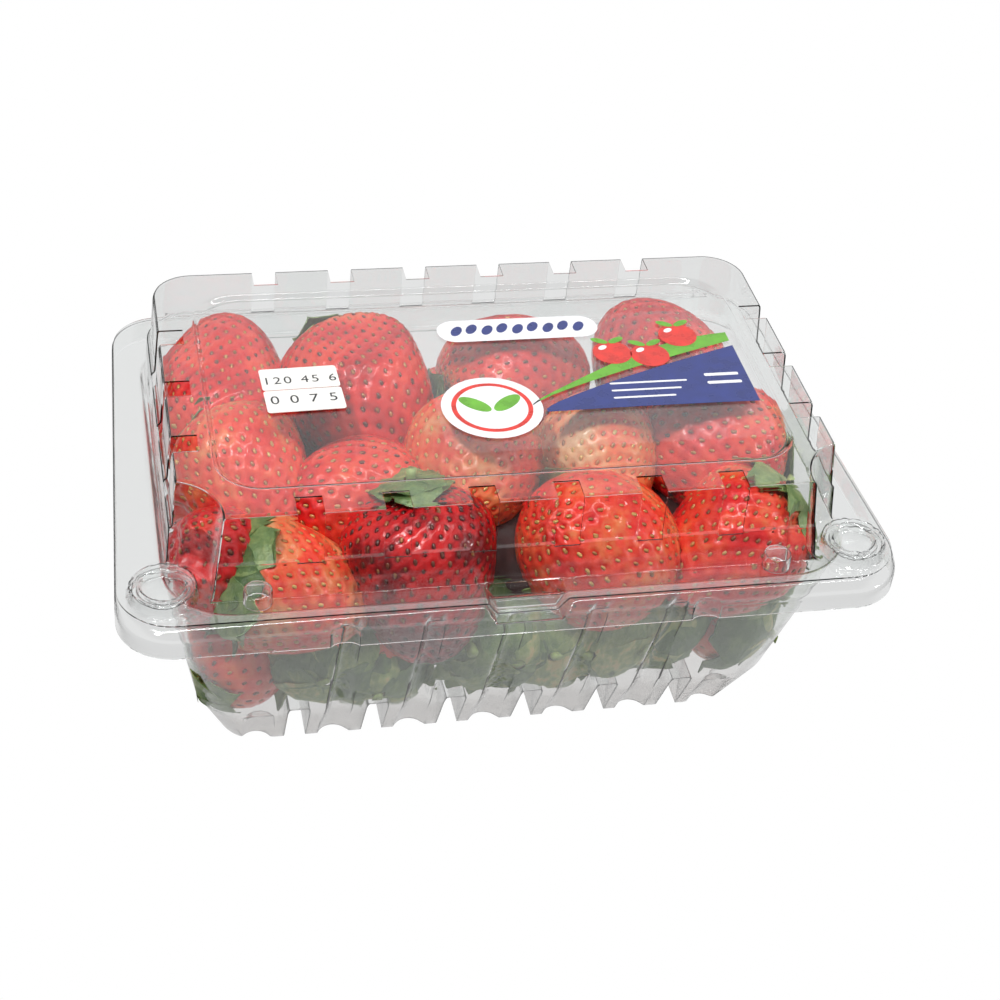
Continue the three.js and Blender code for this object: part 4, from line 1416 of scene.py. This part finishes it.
# The camera: it backs away from the pack along its angles, and turns about its own line of sight.
def makeCamera():
    az, el, roll = [math.radians(view[key]) for key in ("azimuth", "elevation", "roll")]
    back = Vector((math.sin(az) * math.cos(el), -math.cos(az) * math.cos(el), math.sin(el)))
    right = Vector((0, 0, 1)).cross(back).normalized()
    up = back.cross(right)
    across = right * math.cos(roll) + up * math.sin(roll)
    upward = up * math.cos(roll) - right * math.sin(roll)
    lens = bpy.data.cameras.new("photoView")
    lens.lens, lens.sensor_width = view["lens"], view["sensor"]
    turn = Matrix((across, upward, back)).transposed().to_4x4()
    scene.camera = placed("photoView", lens)
    scene.camera.matrix_world = Matrix.Translation(view["at"]) @ turn


# Puts a piece on its body, in place of a node.
def fit(pieces, body, nodeName):
    for piece in pieces if isinstance(pieces, list) else [pieces]:
        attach(piece, body)
        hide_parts(nodeName)


softGrain = makeGrain()
tubPlastic = clearPlastic("tubPlastic", clear["wave"], 1.0)
lidPlastic = clearPlastic("lidPlastic", clear["wave"] * 1.3, 1.3)
fit([makeTub(tubPlastic), makeTubSnaps(tubPlastic), makeHinge(tubPlastic)], "tub", "tub")
fit([makeLid(lidPlastic), makeLugs(lidPlastic)], "lid", "lid")
print("stage: tub and lid made")

inks = {
    "film": tintedMaterial("labelFilm", (0.9, 0.92, 0.93), 0.12, 6, 0.02, 0.05, {"Alpha": 0.02}),
    "white": tintedMaterial("whiteInk", (0.86, 0.86, 0.88), 0.28, 4, 0.03),
    "navy": tintedMaterial("navyInk", (0.035, 0.05, 0.20), 0.3, 4, 0.15),
    "green": tintedMaterial("greenInk", (0.15, 0.42, 0.045), 0.3, 5, 0.2),
    "red": tintedMaterial("redInk", (0.68, 0.05, 0.04), 0.3, 3, 0.2),
}
paper = tintedMaterial("stickerPaper", (0.87, 0.86, 0.82), 0.55, 0.9, 0.04, 0.08)
blackInk = tintedMaterial("blackInk", (0.03, 0.03, 0.035), 0.5, 1.5, 0.3)
fit(makeLabel(inks), "lid", "film_label")
fit(makeSticker(paper, blackInk), "lid", "price_sticker")
print("stage: label and sticker made")

berryRed = berrySkinMaterial()
near, far = berry["spacing"]
layers = [
    ("upperBerries", range(berry["front"]), berry["fine"], near),
    ("frontBerries", range(berry["front"], berry["upper"]), berry["fine"], near),
    ("lowerBerries", range(berry["upper"], len(heap)), berry["plain"], far),
]
fruit, grains, tones = zip(*[makeBerries(*layer, berryRed) for layer in layers])
achenes = makeAchenes(np.concatenate(grains), np.concatenate(tones), acheneMaterial())
leaves = makeLeaves(leafMaterial())
stems = makeStems(tintedMaterial("stemGreen", (0.28, 0.36, 0.12), 0.5, 2.5, 0.25))
# Painted shade: the core's nearly black red stands in for the shade deep inside the heap.
shadeCore = makeShadeCore(tintedMaterial("heapShade", (0.035, 0.008, 0.007), 0.7, 6, 0.4, 0.4))
fit([*fruit, achenes, leaves, stems, shadeCore], "tub", "berries")
print("stage: berries made,", sum(len(one.data.polygons) for one in (*fruit, achenes, leaves)), "faces")

makeFloor()
makeSky()
makeLamps()
makeCamera()
scene.view_settings.view_transform = "Standard"
scene.cycles.max_bounces = 24
scene.cycles.transmission_bounces = 24
scene.cycles.transparent_max_bounces = 24
scene.cycles.glossy_bounces = 6

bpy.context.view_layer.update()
